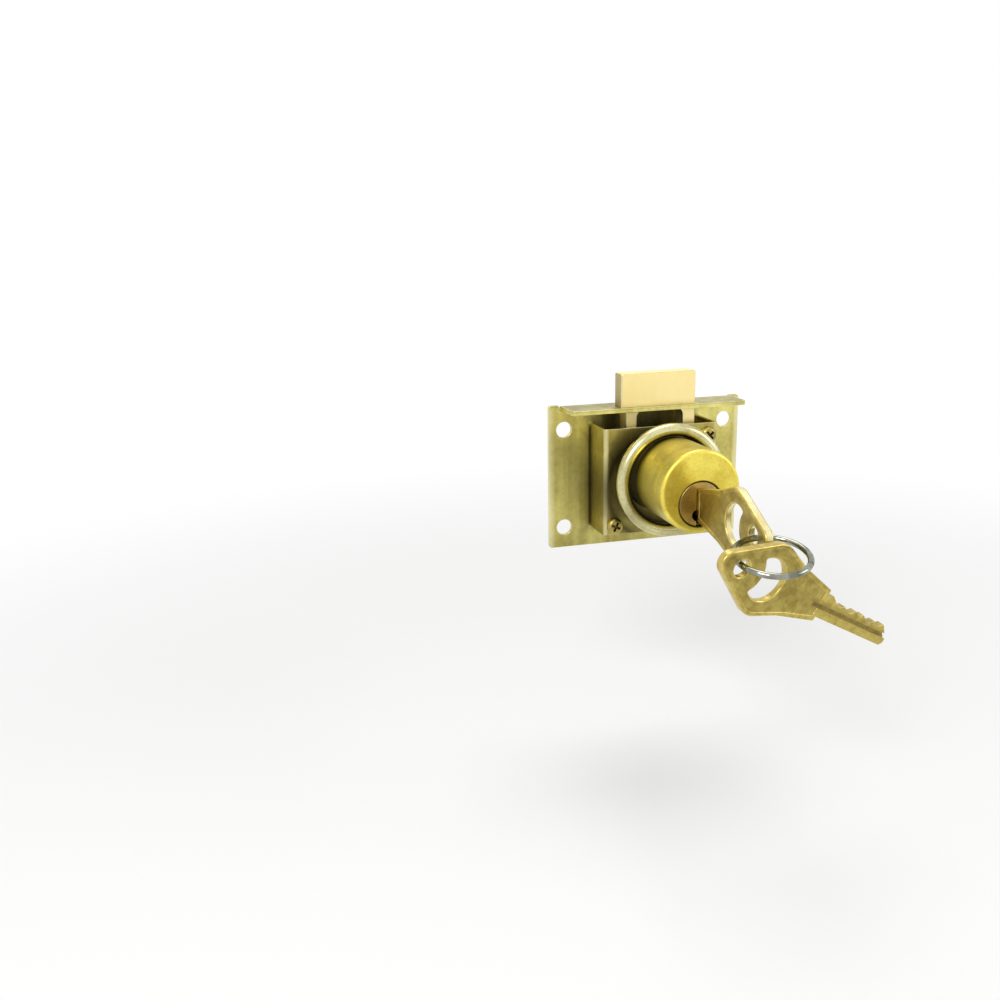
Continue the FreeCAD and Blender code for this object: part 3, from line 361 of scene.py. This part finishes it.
# %% The place on a round piece
# Its lines run round the axis, so the place has the radius in it and only a little height.
HEIGHT_SHARE = 0.02
turned_group, entry, exit_ = start_group(
    "turned_place", [("Place", "Vector", (0, 0, 0)), ("Centre", "Vector", (0, 0, 0))], [("Turned", "Vector")])
reach = from_axis(turned_group, entry.outputs["Place"], entry.outputs["Centre"])
along = turned_group.nodes.new("ShaderNodeSeparateXYZ")
link(turned_group, entry.outputs["Place"], along.inputs["Vector"])
turned = turned_group.nodes.new("ShaderNodeCombineXYZ")
link(turned_group, reach, turned.inputs["X"])
link(turned_group, along.outputs["Y"], turned.inputs["Y"])
link(turned_group, calculated(turned_group, "MULTIPLY", along.outputs["Z"], HEIGHT_SHARE), turned.inputs["Z"])
link(turned_group, turned.outputs["Vector"], exit_.inputs["Turned"])
print("made", turned_group.name)

# %% [markdown]
# ## The finishes
# The lock shows one family of metals in several tones: pale olive plating on the plate and
# the case, warm yellow on the turned barrel, cream on the bolt, reddish brass on the plug and
# a darker, older brass on the keys. Oil and dust turn nearly black in the seam round the plug
# and in the key's groove. The same near-black is painted in as shade inside the case, under the
# flange, behind and below the trim ring, on the barrel's side and on one side of the bolt and
# the ring, and as dark reflections on the plate. Pale highlights are painted on the plate's ends
# and the case's bends, and edges that hands and tools rub turn paler. One function builds every
# metal. What changes over the surface is wired in, and what is the same everywhere is set on the
# shader's own socket.

# %% Places and colours in a material
def group_in(tree, group, place, **values):
    """A copy of a shader group in a material, with its own values."""
    block = tree.nodes.new("ShaderNodeGroup")
    block.node_tree = group
    link(tree, place, block.inputs["Place"])
    for label, value in values.items():
        block.inputs[label.replace("_", " ")].default_value = value
    return block


def mixed(tree, share, first, second):
    """Two colours mixed by a mask. The first is a socket and the second four numbers."""
    blend = tree.nodes.new("ShaderNodeMix")
    blend.data_type = "RGBA"
    link(tree, share, blend.inputs["Factor"])
    link(tree, first, blend.inputs["A"])
    blend.inputs["B"].default_value = second
    return blend.outputs["Result"]


def box_of(low, high, softness, strength=1.0):
    """A place inside a box, with sizes in millimetres. The softness is for X, Y and Z."""
    return box_group, strength, {"Low": Vector(low) * MM, "High": Vector(high) * MM,
                                 "Softness": Vector(softness) * MM}


def ring_of(centre, radius, spread, strength=1.0):
    """A place in a ring round an axis from front to back, with sizes in millimetres."""
    return round_group, strength, {"Centre": Vector(centre) * MM, "Radius": radius * MM,
                                   "Spread": spread * MM}


def share_of(tree, place, area):
    """The mask of a place that box_of or ring_of describes, times its strength."""
    group, strength, values = area
    return calculated(tree, "MULTIPLY", group_in(tree, group, place, **values).outputs["Mask"], strength)


# %% One recipe for every metal
# The near-black of oil and dust, also painted in as shade inside, under and behind pieces.
DARK_OIL_AND_SHADE = (0.022, 0.016, 0.008, 1)
# A pale colour painted in as highlights on edges and bends.
HIGHLIGHT_PALE = (0.93, 0.90, 0.62, 1)
LINES_DULL = 0.5
TARNISH_DULLS = 0.6
RELIEF = 0.05 * MM
RELIEF_STRENGTH = 0.6


def metal(name, clean, dark, rough=(0.28, 0.42), cloud=60, amount=0.6, fineness=(2600, 2600, 90),
          line_depth=0.25, streak=0.35, pit_scale=1500, pit_depth=0.0, oil_and_shade=(), painted_highlights=(), attribute=None,
          lathe_axis=None):
    """A metal. Clean and dark are its two colours, oil and shade is a list of places of dirt and painted
    shade, and painted highlights is a list of places painted pale.
    """
    finish = bpy.data.materials.new(name)
    finish.use_nodes = True
    tree = finish.node_tree
    shader = tree.nodes["Principled BSDF"]
    shader.inputs["Metallic"].default_value = 1
    if attribute:
        source = tree.nodes.new("ShaderNodeAttribute")
        source.attribute_name = attribute
        place = source.outputs["Vector"]
    else:
        place = tree.nodes.new("ShaderNodeTexCoord").outputs["Object"]
    tarnish = group_in(tree, tarnish_group, place, Clean=(*clean, 1), Dark=(*dark, 1),
                       Cloud_Scale=cloud, Amount=amount)
    line_place = place
    if lathe_axis:
        line_place = group_in(tree, turned_group, place, Centre=Vector(lathe_axis) * MM).outputs["Turned"]
    lines = group_in(tree, lines_group, line_place, Fineness=fineness)
    color = mixed(tree, calculated(tree, "MULTIPLY", lines.outputs["Sheen"], streak),
                  tarnish.outputs["Color"], (*dark, 1))
    dull = weighed(tree, lines.outputs["Sheen"], LINES_DULL, tarnish.outputs["Mask"], TARNISH_DULLS)
    # Painted highlights: the colour is mixed toward the pale colour.
    for area in painted_highlights:
        color = mixed(tree, share_of(tree, place, area), color, HIGHLIGHT_PALE)
    # Dirt and painted shade: the colour is mixed toward near-black and the place turns rougher.
    for area in oil_and_shade:
        mask = share_of(tree, place, area)
        color = mixed(tree, mask, color, DARK_OIL_AND_SHADE)
        dull = calculated(tree, "ADD", dull, mask)
    link(tree, color, shader.inputs["Base Color"])
    link(tree, ranged(tree, dull, 0.0, 1.0, *rough), shader.inputs["Roughness"])
    height = calculated(tree, "MULTIPLY", lines.outputs["Height"], line_depth)
    if pit_depth:
        pits = group_in(tree, pits_group, place, Pit_Scale=pit_scale)
        pitted = calculated(tree, "MULTIPLY", pits.outputs["Height"], pit_depth)
        height = calculated(tree, "ADD", height, pitted)
    bump = tree.nodes.new("ShaderNodeBump")
    bump.inputs["Distance"].default_value = RELIEF
    bump.inputs["Strength"].default_value = RELIEF_STRENGTH
    link(tree, height, bump.inputs["Height"])
    link(tree, bump.outputs["Normal"], shader.inputs["Normal"])
    return finish


# %% The sheet metal
# The boxes and rings say where shade, shadows and dark reflections are painted in and where highlights are
# painted pale.
# Painted shade: inside the case and on the plate under the flange, darkened toward near-black.
inside_case = box_of((-16.5, -10.95, -16), (16.5, 0.6, 21), (5, 0.5, 2), 0.6)
# Painted shadows of the bolt's legs on the plate, beside the left leg and in the bolt's window.
beside_leg = box_of((-14, -3, 8), (-8.5, 0.6, 20.4), (2, 1, 1), 0.9)
window_end = box_of((-3.5, -3, 8), (6, 0.6, 20.4), (3, 1, 2), 0.8)
# Painted shadow on the plate along the case's left side.
beside_case = box_of((-20.2, -3, -17), (-14, 0.9, 14.5), (3, 0.7, 3), 0.5)
# Painted dark reflections on the plate, on its left middle and along its bottom.
dark_reflection_middle = box_of((-30, -1, -26), (-14, 0.9, 15), (6, 0.7, 6), 0.36)
dark_reflection_low = box_of((-22, -1, -26), (30, 0.9, -14), (5, 0.7, 3), 0.25)
# A painted shadow line where the case's side meets the plate.
contact_line = box_of((-17.5, -0.9, -14.6), (-16.3, 0.6, 15.8), (0.5, 0.5, 1.5), 0.85)
# Painted shade on the flange.
flange_shade = box_of((-30, -12, 20.6), (30, 2, 25), (1, 1, 0.5), 0.42)
# Painted shade on the case front behind and below the trim ring.
behind_ring = ring_of((2.1, 0, 0.3), 12.2, 4.4)
below_ring = ring_of((-0.6, 0, -1.2), 15.2, 3.4, 0.85)
# Painted highlights down the plate's two ends.
plate_end_highlights = [box_of((side - 1.4, -2, -22), (side + 1.4, 1.3, 21), (1.3, 0.5, 2), 0.45)
              for side in (-28.6, 28.6)]
plate_plating = metal("plate_plating", (0.85, 0.77, 0.25), (0.30, 0.24, 0.05), cloud=70, amount=0.7,
                      painted_highlights=plate_end_highlights,
                      oil_and_shade=(inside_case, beside_leg, window_end, beside_case, dark_reflection_middle, dark_reflection_low,
                             contact_line, flange_shade))
# Painted shade on the case front left of the trim ring.
beside_ring = box_of((-15.2, -12, -10.5), (-8, -10.4, 9), (1.2, 0.5, 5), 0.85)
# Painted highlights on the case's two bends.
bend_highlights = [box_of((side - 0.8, -12.2, -17), (side + 0.8, -10.3, 20), (0.6, 0.6, 2), 0.3)
              for side in (-16.3, 16.3)]
case_plating = metal("case_plating", (0.60, 0.51, 0.15), (0.22, 0.17, 0.035), cloud=60, amount=0.8,
                     painted_highlights=bend_highlights,
                     oil_and_shade=(inside_case, behind_ring, below_ring, beside_ring, contact_line))
# Painted shade: the bolt's left side darkened.
bolt_side_shade = box_of((-12, -10, 18.5), (-10.6, -3, 32), (0.35, 0.5, 0.5), 0.5)
# Painted shade: the parts of the bolt inside the case darkened.
inside_bolt = box_of((-17, -11, -18), (17, 0.5, 14.5), (1, 1, 3), 0.9)
bolt_plating = metal("bolt_plating", (0.96, 0.81, 0.39), (0.84, 0.67, 0.28), rough=(0.42, 0.55), cloud=80,
                     amount=0.4, streak=0.12, fineness=(3000, 3000, 200), oil_and_shade=(bolt_side_shade, inside_bolt))
rubbed_edge = metal("rubbed_edge", (0.86, 0.80, 0.48), (0.55, 0.47, 0.18), rough=(0.18, 0.30), amount=0.5,
                    oil_and_shade=(inside_case,))
print("sheet metal:", plate_plating.name, case_plating.name, bolt_plating.name, rubbed_edge.name)

# %% The metal of the round pieces
# Turning and round polishing leave lines round a piece's axis, which is given in millimetres.
BARREL_AXIS = (0, 0, 3)
TRIM_RING_AXIS = (0, 0, 1.95)
PLUG_AXIS = (0, 0, -0.25)
plug_seam = ring_of(PLUG_AXIS, 6.02, 0.42)
# Painted shade: the barrel behind the trim ring, its whole side next to the face and its lower left are
# darkened.
under_ring = box_of((-16, -22.3, -14), (16, -5, 18), (2, 2.2, 2), 0.95)
barrel_side_shade = box_of((-12, -36.9, -12), (12, -5, 15), (0.5, 0.5, 0.5), 0.30)
lower_left_shade = box_of((-14, -33, -14), (-2, -16, 8), (6, 4, 6), 0.42)
# The face just below the plug is darkened a little.
below_plug = box_of((-7, -38, -9), (4, -36, -3), (3, 1, 2), 0.3)
barrel_brass = metal("turned_brass", (0.92, 0.78, 0.14), (0.55, 0.40, 0.04), rough=(0.30, 0.44),
                     cloud=140, amount=0.85, fineness=(2600, 2600, 2600), line_depth=0.8,
                     lathe_axis=BARREL_AXIS, pit_scale=900, pit_depth=1.0,
                     oil_and_shade=(plug_seam, under_ring, barrel_side_shade, lower_left_shade, below_plug))
# Painted shade: the ring's left side and its inner edge by the gap are darkened.
ring_side = box_of((-18, -22, -14), (-8, -16, 11), (5, 1, 5), 0.2)
inner_band = ring_of(TRIM_RING_AXIS, 12.2, 0.7, 0.98)
ring_plating = metal("ring_plating", (0.84, 0.80, 0.45), (0.26, 0.22, 0.07), rough=(0.16, 0.30),
                     cloud=120, amount=0.7, fineness=(2200, 2200, 2200), lathe_axis=TRIM_RING_AXIS,
                     oil_and_shade=(inner_band, ring_side))
plug_brass = metal("plug_brass", (0.64, 0.46, 0.15), (0.24, 0.14, 0.035), rough=(0.26, 0.42),
                   cloud=160, amount=0.8, fineness=(2600, 2600, 2600), lathe_axis=PLUG_AXIS,
                   oil_and_shade=(plug_seam,))
print("round pieces:", barrel_brass.name, ring_plating.name, plug_brass.name)

# %% The cast metal of the keys
key_groove = box_of((-40, -1.05, -1.2), (3.2, 0.1, -0.2), (0.3, 0.3, 0.3), 0.8)
sunk_faces = box_of((0.5, -12, -0.97), (40, 12, 0.97), (0.5, 0.5, 0.03), 0.2)
key_brass = metal("key_brass", (0.58, 0.47, 0.125), (0.26, 0.18, 0.03), rough=(0.26, 0.46),
                  cloud=480, amount=0.75, fineness=(120, 2400, 2400), pit_scale=1500, pit_depth=2.4,
                  oil_and_shade=(key_groove, sunk_faces), attribute="key_place")
key_rim = metal("key_rim", (0.70, 0.57, 0.18), (0.34, 0.23, 0.04), rough=(0.26, 0.42), cloud=480,
                amount=0.6, fineness=(120, 2400, 2400), attribute="key_place")
key_wall = metal("key_wall", (0.97, 0.90, 0.56), (0.52, 0.42, 0.14), rough=(0.24, 0.40), cloud=330,
                 amount=0.6, fineness=(2400, 2400, 120), attribute="key_place")
print("key metal:", key_brass.name, key_rim.name, key_wall.name)

# %% The metal of the small parts
screw_brass = metal("screw_brass", (0.56, 0.46, 0.14), (0.20, 0.15, 0.03), cloud=220, amount=0.8)
# Painted shade: the cross recess takes a near-black metal.
recess_shade = metal("recess_shade", (0.16, 0.12, 0.04), (0.05, 0.035, 0.01), rough=(0.45, 0.6), cloud=220)
pin_brass = metal("pin_brass", (0.70, 0.52, 0.16), (0.45, 0.31, 0.08), cloud=200)
dull_steel = metal("dull_steel", (0.42, 0.41, 0.39), (0.20, 0.19, 0.18), rough=(0.35, 0.55), cloud=120)
spring_steel = metal("spring_steel", (0.60, 0.60, 0.58), (0.35, 0.34, 0.33), cloud=300)
ring_nickel = metal("ring_nickel", (0.38, 0.39, 0.33), (0.10, 0.10, 0.065), rough=(0.08, 0.20),
                    cloud=300, amount=0.9)
print("small parts:", screw_brass.name, pin_brass.name, dull_steel.name, spring_steel.name, ring_nickel.name)

# %% Which metal each material slot takes
slot_metals = {
    "plate_brass": plate_plating, "case_brass": case_plating, "barrel_brass": barrel_brass,
    "bolt_brass": bolt_plating, "ring_brass": ring_plating, "plug_brass": plug_brass,
    "key_brass": key_brass, "screw_brass": screw_brass, "pin_brass": pin_brass,
    "cam_steel": dull_steel, "spring_steel": spring_steel, "loop_nickel": ring_nickel,
}
print("metals:", len(slot_metals))

# %% [markdown]
# ## Finishes on the CAD pieces
# A piece whose CAD shape is already right keeps it and only takes its metal. The record says
# which material slot each piece has, so one loop dresses them all.

# %% Dress the CAD pieces
slot_of = {part["node"]: part["material_slot"] for part in frame["record"]["subparts"]}
for node, thing in frame["nodes"].items():
    thing.data.materials.clear()
    thing.data.materials.append(slot_metals[slot_of[node]])
print("dressed", len(slot_of), "pieces")

# %% [markdown]
# ## Rubbed edges
# No real edge is as sharp as a CAD edge. The press rounds the edges of stamped sheet, and
# hands and pockets polish them bright. A fine bevel catches the light the same way, and it
# gets a metal of its own. A CAD mesh is loose triangles, so a copy is merged and its flat
# triangles are joined to whole faces first, and then the bevel finds only the true edges.

# %% A merged copy of a CAD piece
WELD = 0.001 * MM
FLAT_WITHIN = math.radians(1)
SMOOTH_BELOW = math.radians(30)
SHARP_FROM = math.radians(35)
EDGE_SLOT = 1


def alone(piece):
    """Selects one piece and nothing else."""
    bpy.ops.object.select_all(action="DESELECT")
    piece.select_set(True)
    bpy.context.view_layer.objects.active = piece


def merged_copy(node, name):
    """A new piece with the shape of a CAD piece, in whole faces."""
    piece = bpy.data.objects.new(name, frame["nodes"][node].data.copy())
    bpy.context.collection.objects.link(piece)
    alone(piece)
    bpy.ops.object.mode_set(mode="EDIT")
    bpy.ops.mesh.select_all(action="SELECT")
    bpy.ops.mesh.remove_doubles(threshold=WELD)
    bpy.ops.mesh.dissolve_limited(angle_limit=FLAT_WITHIN)
    bpy.ops.object.mode_set(mode="OBJECT")
    bpy.ops.object.shade_smooth_by_angle(angle=SMOOTH_BELOW)
    return piece


def stands_for(piece, node):
    """The piece moves with a CAD piece's body and hides it."""
    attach(piece, body_of[node])
    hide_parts(node)


def bevelled(piece, width, segments=2, limit="ANGLE"):
    """Rounds the sharp edges of a piece. The rounding takes the piece's second material."""
    alone(piece)
    rounding = piece.modifiers.new("rounding", "BEVEL")
    rounding.limit_method = limit
    rounding.angle_limit = SHARP_FROM
    rounding.width = width
    rounding.segments = segments
    rounding.use_clamp_overlap = False
    rounding.loop_slide = False
    rounding.harden_normals = True
    rounding.material = EDGE_SLOT
    bpy.ops.object.modifier_apply(modifier=rounding.name)


# %% Round the edges of the sheet and the bolt
ROUNDED = {"back_plate": (0.10, rubbed_edge), "lock_case": (0.10, rubbed_edge),
           "bolt": (0.16, rubbed_edge), "plug": (0.05, plug_brass)}
for node, (width, edge_metal) in ROUNDED.items():
    piece = merged_copy(node, "soft_" + node)
    piece.data.materials.append(edge_metal)
    bevelled(piece, width * MM)
    stands_for(piece, node)
    print(piece.name, len(piece.data.polygons), "faces")

# %% [markdown]
# ## The keys
# Both keys come from one casting pattern: a bow with a crescent and a hole for the ring, sunk
# faces inside a plain rim, and a blade with cuts and a groove. So the key is made once, in its
# own place with its shoulder at the origin and its bow along X, and copied twice. The pitted
# finish has to look the same on both keys and stay on them when they turn, so it reads a
# place that is stored in the mesh before the copies are put where they belong.

# %% One key in its own place
def placed_frame(origin, first, second):
    """A matrix with its origin in millimetres and its first two axes near the given ones."""
    x_axis = Vector(first).normalized()
    z_axis = x_axis.cross(Vector(second)).normalized()
    turn = Matrix((x_axis, z_axis.cross(x_axis), z_axis)).transposed().to_4x4()
    return Matrix.Translation(Vector(origin) * MM) @ turn


LOCK_KEY_SHOULDER = (0, -37.4, -0.25)
RING_HOLE_AT = 29.0
SPARE_KEY_HOLE = Vector((-8.7178, -75.4352, -4.2433))
SPARE_KEY_ACROSS = (0.499, -0.056, 0.865)
towards_ring = Vector((-0.849, -0.234, 0.474)).normalized()
lock_key_frame = placed_frame(LOCK_KEY_SHOULDER, (0, -1, 0), (0, 0, 1))
spare_key_frame = placed_frame(SPARE_KEY_HOLE - towards_ring * RING_HOLE_AT, towards_ring, SPARE_KEY_ACROSS)
pattern_key = merged_copy("key_in_lock", "pattern_key")
pattern_key.data.transform(lock_key_frame.inverted())
lengths = [point.co.x / MM for point in pattern_key.data.vertices]
print("key from", round(min(lengths), 2), "to", round(max(lengths), 2), "mm")

# %% The polished walls of the bow
# The walls of the key in use are rubbed bright, and the spare key's are as dull as its edges.
SHOULDER_CLEAR = 0.2 * MM
WALL_LEAST = 1.5 * MM
WALL_SLOT = 2


def is_wall(mesh, face):
    """True for a face that goes through most of the key's thickness."""
    heights = [mesh.vertices[corner].co.z for corner in face.vertices]
    return max(heights) - min(heights) > WALL_LEAST


for finish in (key_brass, key_rim, key_wall):
    pattern_key.data.materials.append(finish)
pattern_key.data.materials.pop(index=0)
for face in pattern_key.data.polygons:
    polished = is_wall(pattern_key.data, face) and face.center.x > SHOULDER_CLEAR
    face.material_index = WALL_SLOT if polished else 0
print("polished walls:", sum(face.material_index == WALL_SLOT for face in pattern_key.data.polygons))

# %% Which edges of the key are worn
WORN_ROUND = 0.38 * MM
CRISP_SHARE = 0.18
FLAT_FROM = 0.9
SHARP_BELOW = math.cos(SHARP_FROM)
mesh = pattern_key.data
faces_at = {}
for face in mesh.polygons:
    for pair in face.edge_keys:
        faces_at.setdefault(pair, []).append(face)
weights = mesh.attributes.new("bevel_weight_edge", "FLOAT", "EDGE")
worn = 0
for edge in mesh.edges:
    near_faces = faces_at[edge.key]
    if len(near_faces) != 2 or near_faces[0].normal.dot(near_faces[1].normal) > SHARP_BELOW:
        continue
    flats = [abs(face.normal.z) > FLAT_FROM for face in near_faces]
    bow_edge = all(mesh.vertices[corner].co.x > SHOULDER_CLEAR for corner in edge.vertices)
    if any(is_wall(mesh, face) for face in near_faces) and any(flats) and bow_edge:
        weights.data[edge.index].value = 1
        worn += 1
    else:
        weights.data[edge.index].value = CRISP_SHARE
print("worn edges:", worn)

# %% Round the key and copy it twice
bevelled(pattern_key, WORN_ROUND, segments=3, limit="WEIGHT")
mesh = pattern_key.data
own_place = mesh.attributes.new("key_place", "FLOAT_VECTOR", "POINT")
own_place.data.foreach_set("vector", [value for vertex in mesh.vertices for value in vertex.co])
KEYS = (("key_in_lock", lock_key_frame, key_wall), ("spare_key", spare_key_frame, key_rim))
for node, place, wall in KEYS:
    key = bpy.data.objects.new("worn_" + node, mesh.copy())
    bpy.context.collection.objects.link(key)
    key.data.transform(place)
    key.data.materials[WALL_SLOT] = wall
    stands_for(key, node)
bpy.data.objects.remove(pattern_key)
print("keys:", len(mesh.polygons), "faces each")

# %% [markdown]
# ## The trim ring
# The trim ring is drawn from thin sheet: a rounded bead with a short straight skirt outside.
# Its section is half an ellipse. A circle gives the section, its back half is deleted, the
# outer end is drawn out to the skirt, and a spin round the ring's axis makes the bead. Solidify
# then gives the sheet its thickness on the inside, so the outside keeps its true size.

# %% The bead's section
RING_AXIS_UP = TRIM_RING_AXIS[2] * MM
BEAD_AT = Vector((14.0 * MM, -18.9 * MM, RING_AXIS_UP))
BEAD_HALF = (1.7 * MM, 1.5 * MM)
SKIRT = 0.8 * MM
RING_SHEET = 0.7 * MM
NEAR = 0.01 * MM
bpy.ops.object.select_all(action="DESELECT")
bpy.ops.mesh.primitive_circle_add(vertices=32, radius=BEAD_HALF[0], location=BEAD_AT)
bead = bpy.context.object
bead.name = "ring_bead"
bpy.ops.object.transform_apply(location=True, rotation=True, scale=True)


def select_points(piece, chosen):
    """Selects the points of a piece that a test picks, and opens edit mode."""
    alone(piece)
    bpy.ops.object.mode_set(mode="EDIT")
    bpy.ops.mesh.select_mode(type="VERT")
    bpy.ops.mesh.select_all(action="DESELECT")
    bpy.ops.object.mode_set(mode="OBJECT")
    for point in piece.data.vertices:
        point.select = chosen(point.co)
    bpy.ops.object.mode_set(mode="EDIT")


select_points(bead, lambda place: True)
bpy.ops.transform.resize(value=(1, BEAD_HALF[1] / BEAD_HALF[0], 1), center_override=BEAD_AT)
bpy.ops.object.mode_set(mode="OBJECT")
select_points(bead, lambda place: place.y > BEAD_AT.y + NEAR)
bpy.ops.mesh.delete(type="VERT")
bpy.ops.object.mode_set(mode="OBJECT")
select_points(bead, lambda place: place.x > BEAD_AT.x + BEAD_HALF[0] - NEAR)
bpy.ops.mesh.extrude_region_move(TRANSFORM_OT_translate={"value": (0, SKIRT, 0)})
bpy.ops.object.mode_set(mode="OBJECT")
print("section points:", len(bead.data.vertices))

# %% Spin the bead and give the sheet its thickness
SMOOTH_ROUND = math.radians(40)
select_points(bead, lambda place: True)
bpy.ops.mesh.spin(steps=128, angle=math.tau, center=(0, 0, RING_AXIS_UP), axis=(0, 1, 0))
bpy.ops.mesh.select_all(action="SELECT")
bpy.ops.mesh.remove_doubles(threshold=WELD)
bpy.ops.mesh.normals_make_consistent(inside=False)
bpy.ops.object.mode_set(mode="OBJECT")
front = min(bead.data.polygons, key=lambda face: face.center.y)
if front.normal.y > 0:
    bpy.ops.object.mode_set(mode="EDIT")
    bpy.ops.mesh.select_all(action="SELECT")
    bpy.ops.mesh.flip_normals()
    bpy.ops.object.mode_set(mode="OBJECT")
sheet = bead.modifiers.new("sheet", "SOLIDIFY")
sheet.thickness = RING_SHEET
sheet.offset = -1
bpy.ops.object.modifier_apply(modifier=sheet.name)
bpy.ops.object.shade_smooth_by_angle(angle=SMOOTH_ROUND)
bead.data.materials.append(ring_plating)
stands_for(bead, "trim_ring")
print("bead:", len(bead.data.polygons), "faces")

# %% [markdown]
# ## The two case screws
# A case screw has a low domed head with a cross recess, and a plain shank behind it. One screw
# is made at the origin: a cylinder for the head, a round bevel for the dome, an inset and an
# extrusion for the shank, and two crossed bars that cut the recess. Two copies go to
# their places, each with its own turn, because nobody lines up the crosses.

# %% A screw at the origin
HEAD_HALF = 2.25 * MM
HEAD_HIGH = 1.5 * MM
SHANK_HALF = 1.25 * MM
SHANK_LONG = 13.0 * MM
DOME = 0.9 * MM
bpy.ops.object.select_all(action="DESELECT")
bpy.ops.mesh.primitive_cylinder_add(vertices=48, radius=HEAD_HALF, depth=HEAD_HIGH,
                                    location=(0, -HEAD_HIGH / 2, 0), rotation=(math.pi / 2, 0, 0))
screw = bpy.context.object
screw.name = "pattern_screw"
bpy.ops.object.transform_apply(location=True, rotation=True, scale=True)
select_points(screw, lambda place: place.y < -HEAD_HIGH + NEAR)
bpy.ops.mesh.bevel(offset=DOME, segments=5, affect="EDGES")
bpy.ops.object.mode_set(mode="OBJECT")
select_points(screw, lambda place: place.y > -NEAR)
bpy.ops.mesh.inset(thickness=HEAD_HALF - SHANK_HALF)
bpy.ops.mesh.extrude_region_move(TRANSFORM_OT_translate={"value": (0, SHANK_LONG, 0)})
bpy.ops.object.mode_set(mode="OBJECT")
print("screw:", len(screw.data.polygons), "faces")

# %% The cross recess
RECESS_LONG = 2.8 * MM
RECESS_WIDE = 0.7 * MM
RECESS_DEEP = 0.9 * MM
bars = []
for long_way, high_way in ((RECESS_LONG, RECESS_WIDE), (RECESS_WIDE, RECESS_LONG)):
    bpy.ops.object.select_all(action="DESELECT")
    bpy.ops.mesh.primitive_cube_add(size=1, location=(0, -HEAD_HIGH, 0),
                                    scale=(long_way, 2 * RECESS_DEEP, high_way))
    bpy.ops.object.transform_apply(location=True, rotation=True, scale=True)
    bpy.context.object.data.materials.append(recess_shade)
    bars.append(bpy.context.object)
screw.data.materials.append(screw_brass)
for bar in bars:
    alone(screw)
    recess = screw.modifiers.new("recess", "BOOLEAN")
    recess.operation = "DIFFERENCE"
    recess.material_mode = "TRANSFER"
    recess.object = bar
    bpy.ops.object.modifier_apply(modifier=recess.name)
    bpy.data.objects.remove(bar)
bpy.ops.object.shade_smooth_by_angle(angle=SHARP_FROM)
SCREWS = {"case_screw_lower_left": ((-13.8, -11.8, -11.6), 25),
          "case_screw_upper_right": ((13.8, -11.8, 12.4), 50)}
for node, (place, degrees) in SCREWS.items():
    copy = bpy.data.objects.new("domed_" + node, screw.data.copy())
    bpy.context.collection.objects.link(copy)
    turn = Matrix.Rotation(math.radians(degrees), 4, "Y")
    copy.data.transform(Matrix.Translation(Vector(place) * MM) @ turn)
    stands_for(copy, node)
print("screws:", len(SCREWS), "with", len(screw.data.polygons), "faces each")
bpy.data.objects.remove(screw)

# %% [markdown]
# ## The pin springs
# Five coil springs push the pins down. They are wound from thin steel wire. A small circle is
# the wire's section, and a Screw modifier winds it up round the pin's axis. The ends are closed.

# %% Wind one spring and copy it
WIRE_HALF = 0.15 * MM
COIL_HALF = 1.0 * MM
SPRING_LOW, SPRING_HIGH = 8.6 * MM, 11.5 * MM
WOUND = 3.5
STEPS_EACH_TURN = 24
SPRINGS_AHEAD = (31.7, 27.7, 23.7, 19.7, 15.7)
bpy.ops.object.select_all(action="DESELECT")
bpy.ops.mesh.primitive_circle_add(vertices=10, radius=WIRE_HALF, rotation=(math.pi / 2, 0, 0),
                                  location=(COIL_HALF, 0, SPRING_LOW + WIRE_HALF))
coil = bpy.context.object
coil.name = "pattern_spring"
bpy.ops.object.transform_apply(location=True, rotation=True, scale=True)
winding = coil.modifiers.new("winding", "SCREW")
winding.axis = "Z"
winding.angle = math.tau * WOUND
winding.steps = winding.render_steps = int(STEPS_EACH_TURN * WOUND)
winding.screw_offset = SPRING_HIGH - SPRING_LOW - 2 * WIRE_HALF
bpy.ops.object.modifier_apply(modifier=winding.name)
bpy.ops.object.mode_set(mode="EDIT")
bpy.ops.mesh.select_all(action="SELECT")
bpy.ops.mesh.remove_doubles(threshold=WELD)
bpy.ops.mesh.fill_holes(sides=0)
bpy.ops.mesh.normals_make_consistent(inside=False)
bpy.ops.object.mode_set(mode="OBJECT")
bpy.ops.object.shade_smooth_by_angle(angle=SMOOTH_ROUND)
coil.data.materials.append(spring_steel)
heights = [vertex.co.z / MM for vertex in coil.data.vertices]
print("spring from", round(min(heights), 2), "to", round(max(heights), 2), "mm")
for number, ahead in enumerate(SPRINGS_AHEAD, 1):
    copy = bpy.data.objects.new(f"wound_pin_spring_{number}", coil.data.copy())
    bpy.context.collection.objects.link(copy)
    copy.data.transform(Matrix.Translation((0, -ahead * MM, 0)))
    stands_for(copy, f"pin_spring_{number}")
bpy.data.objects.remove(coil)
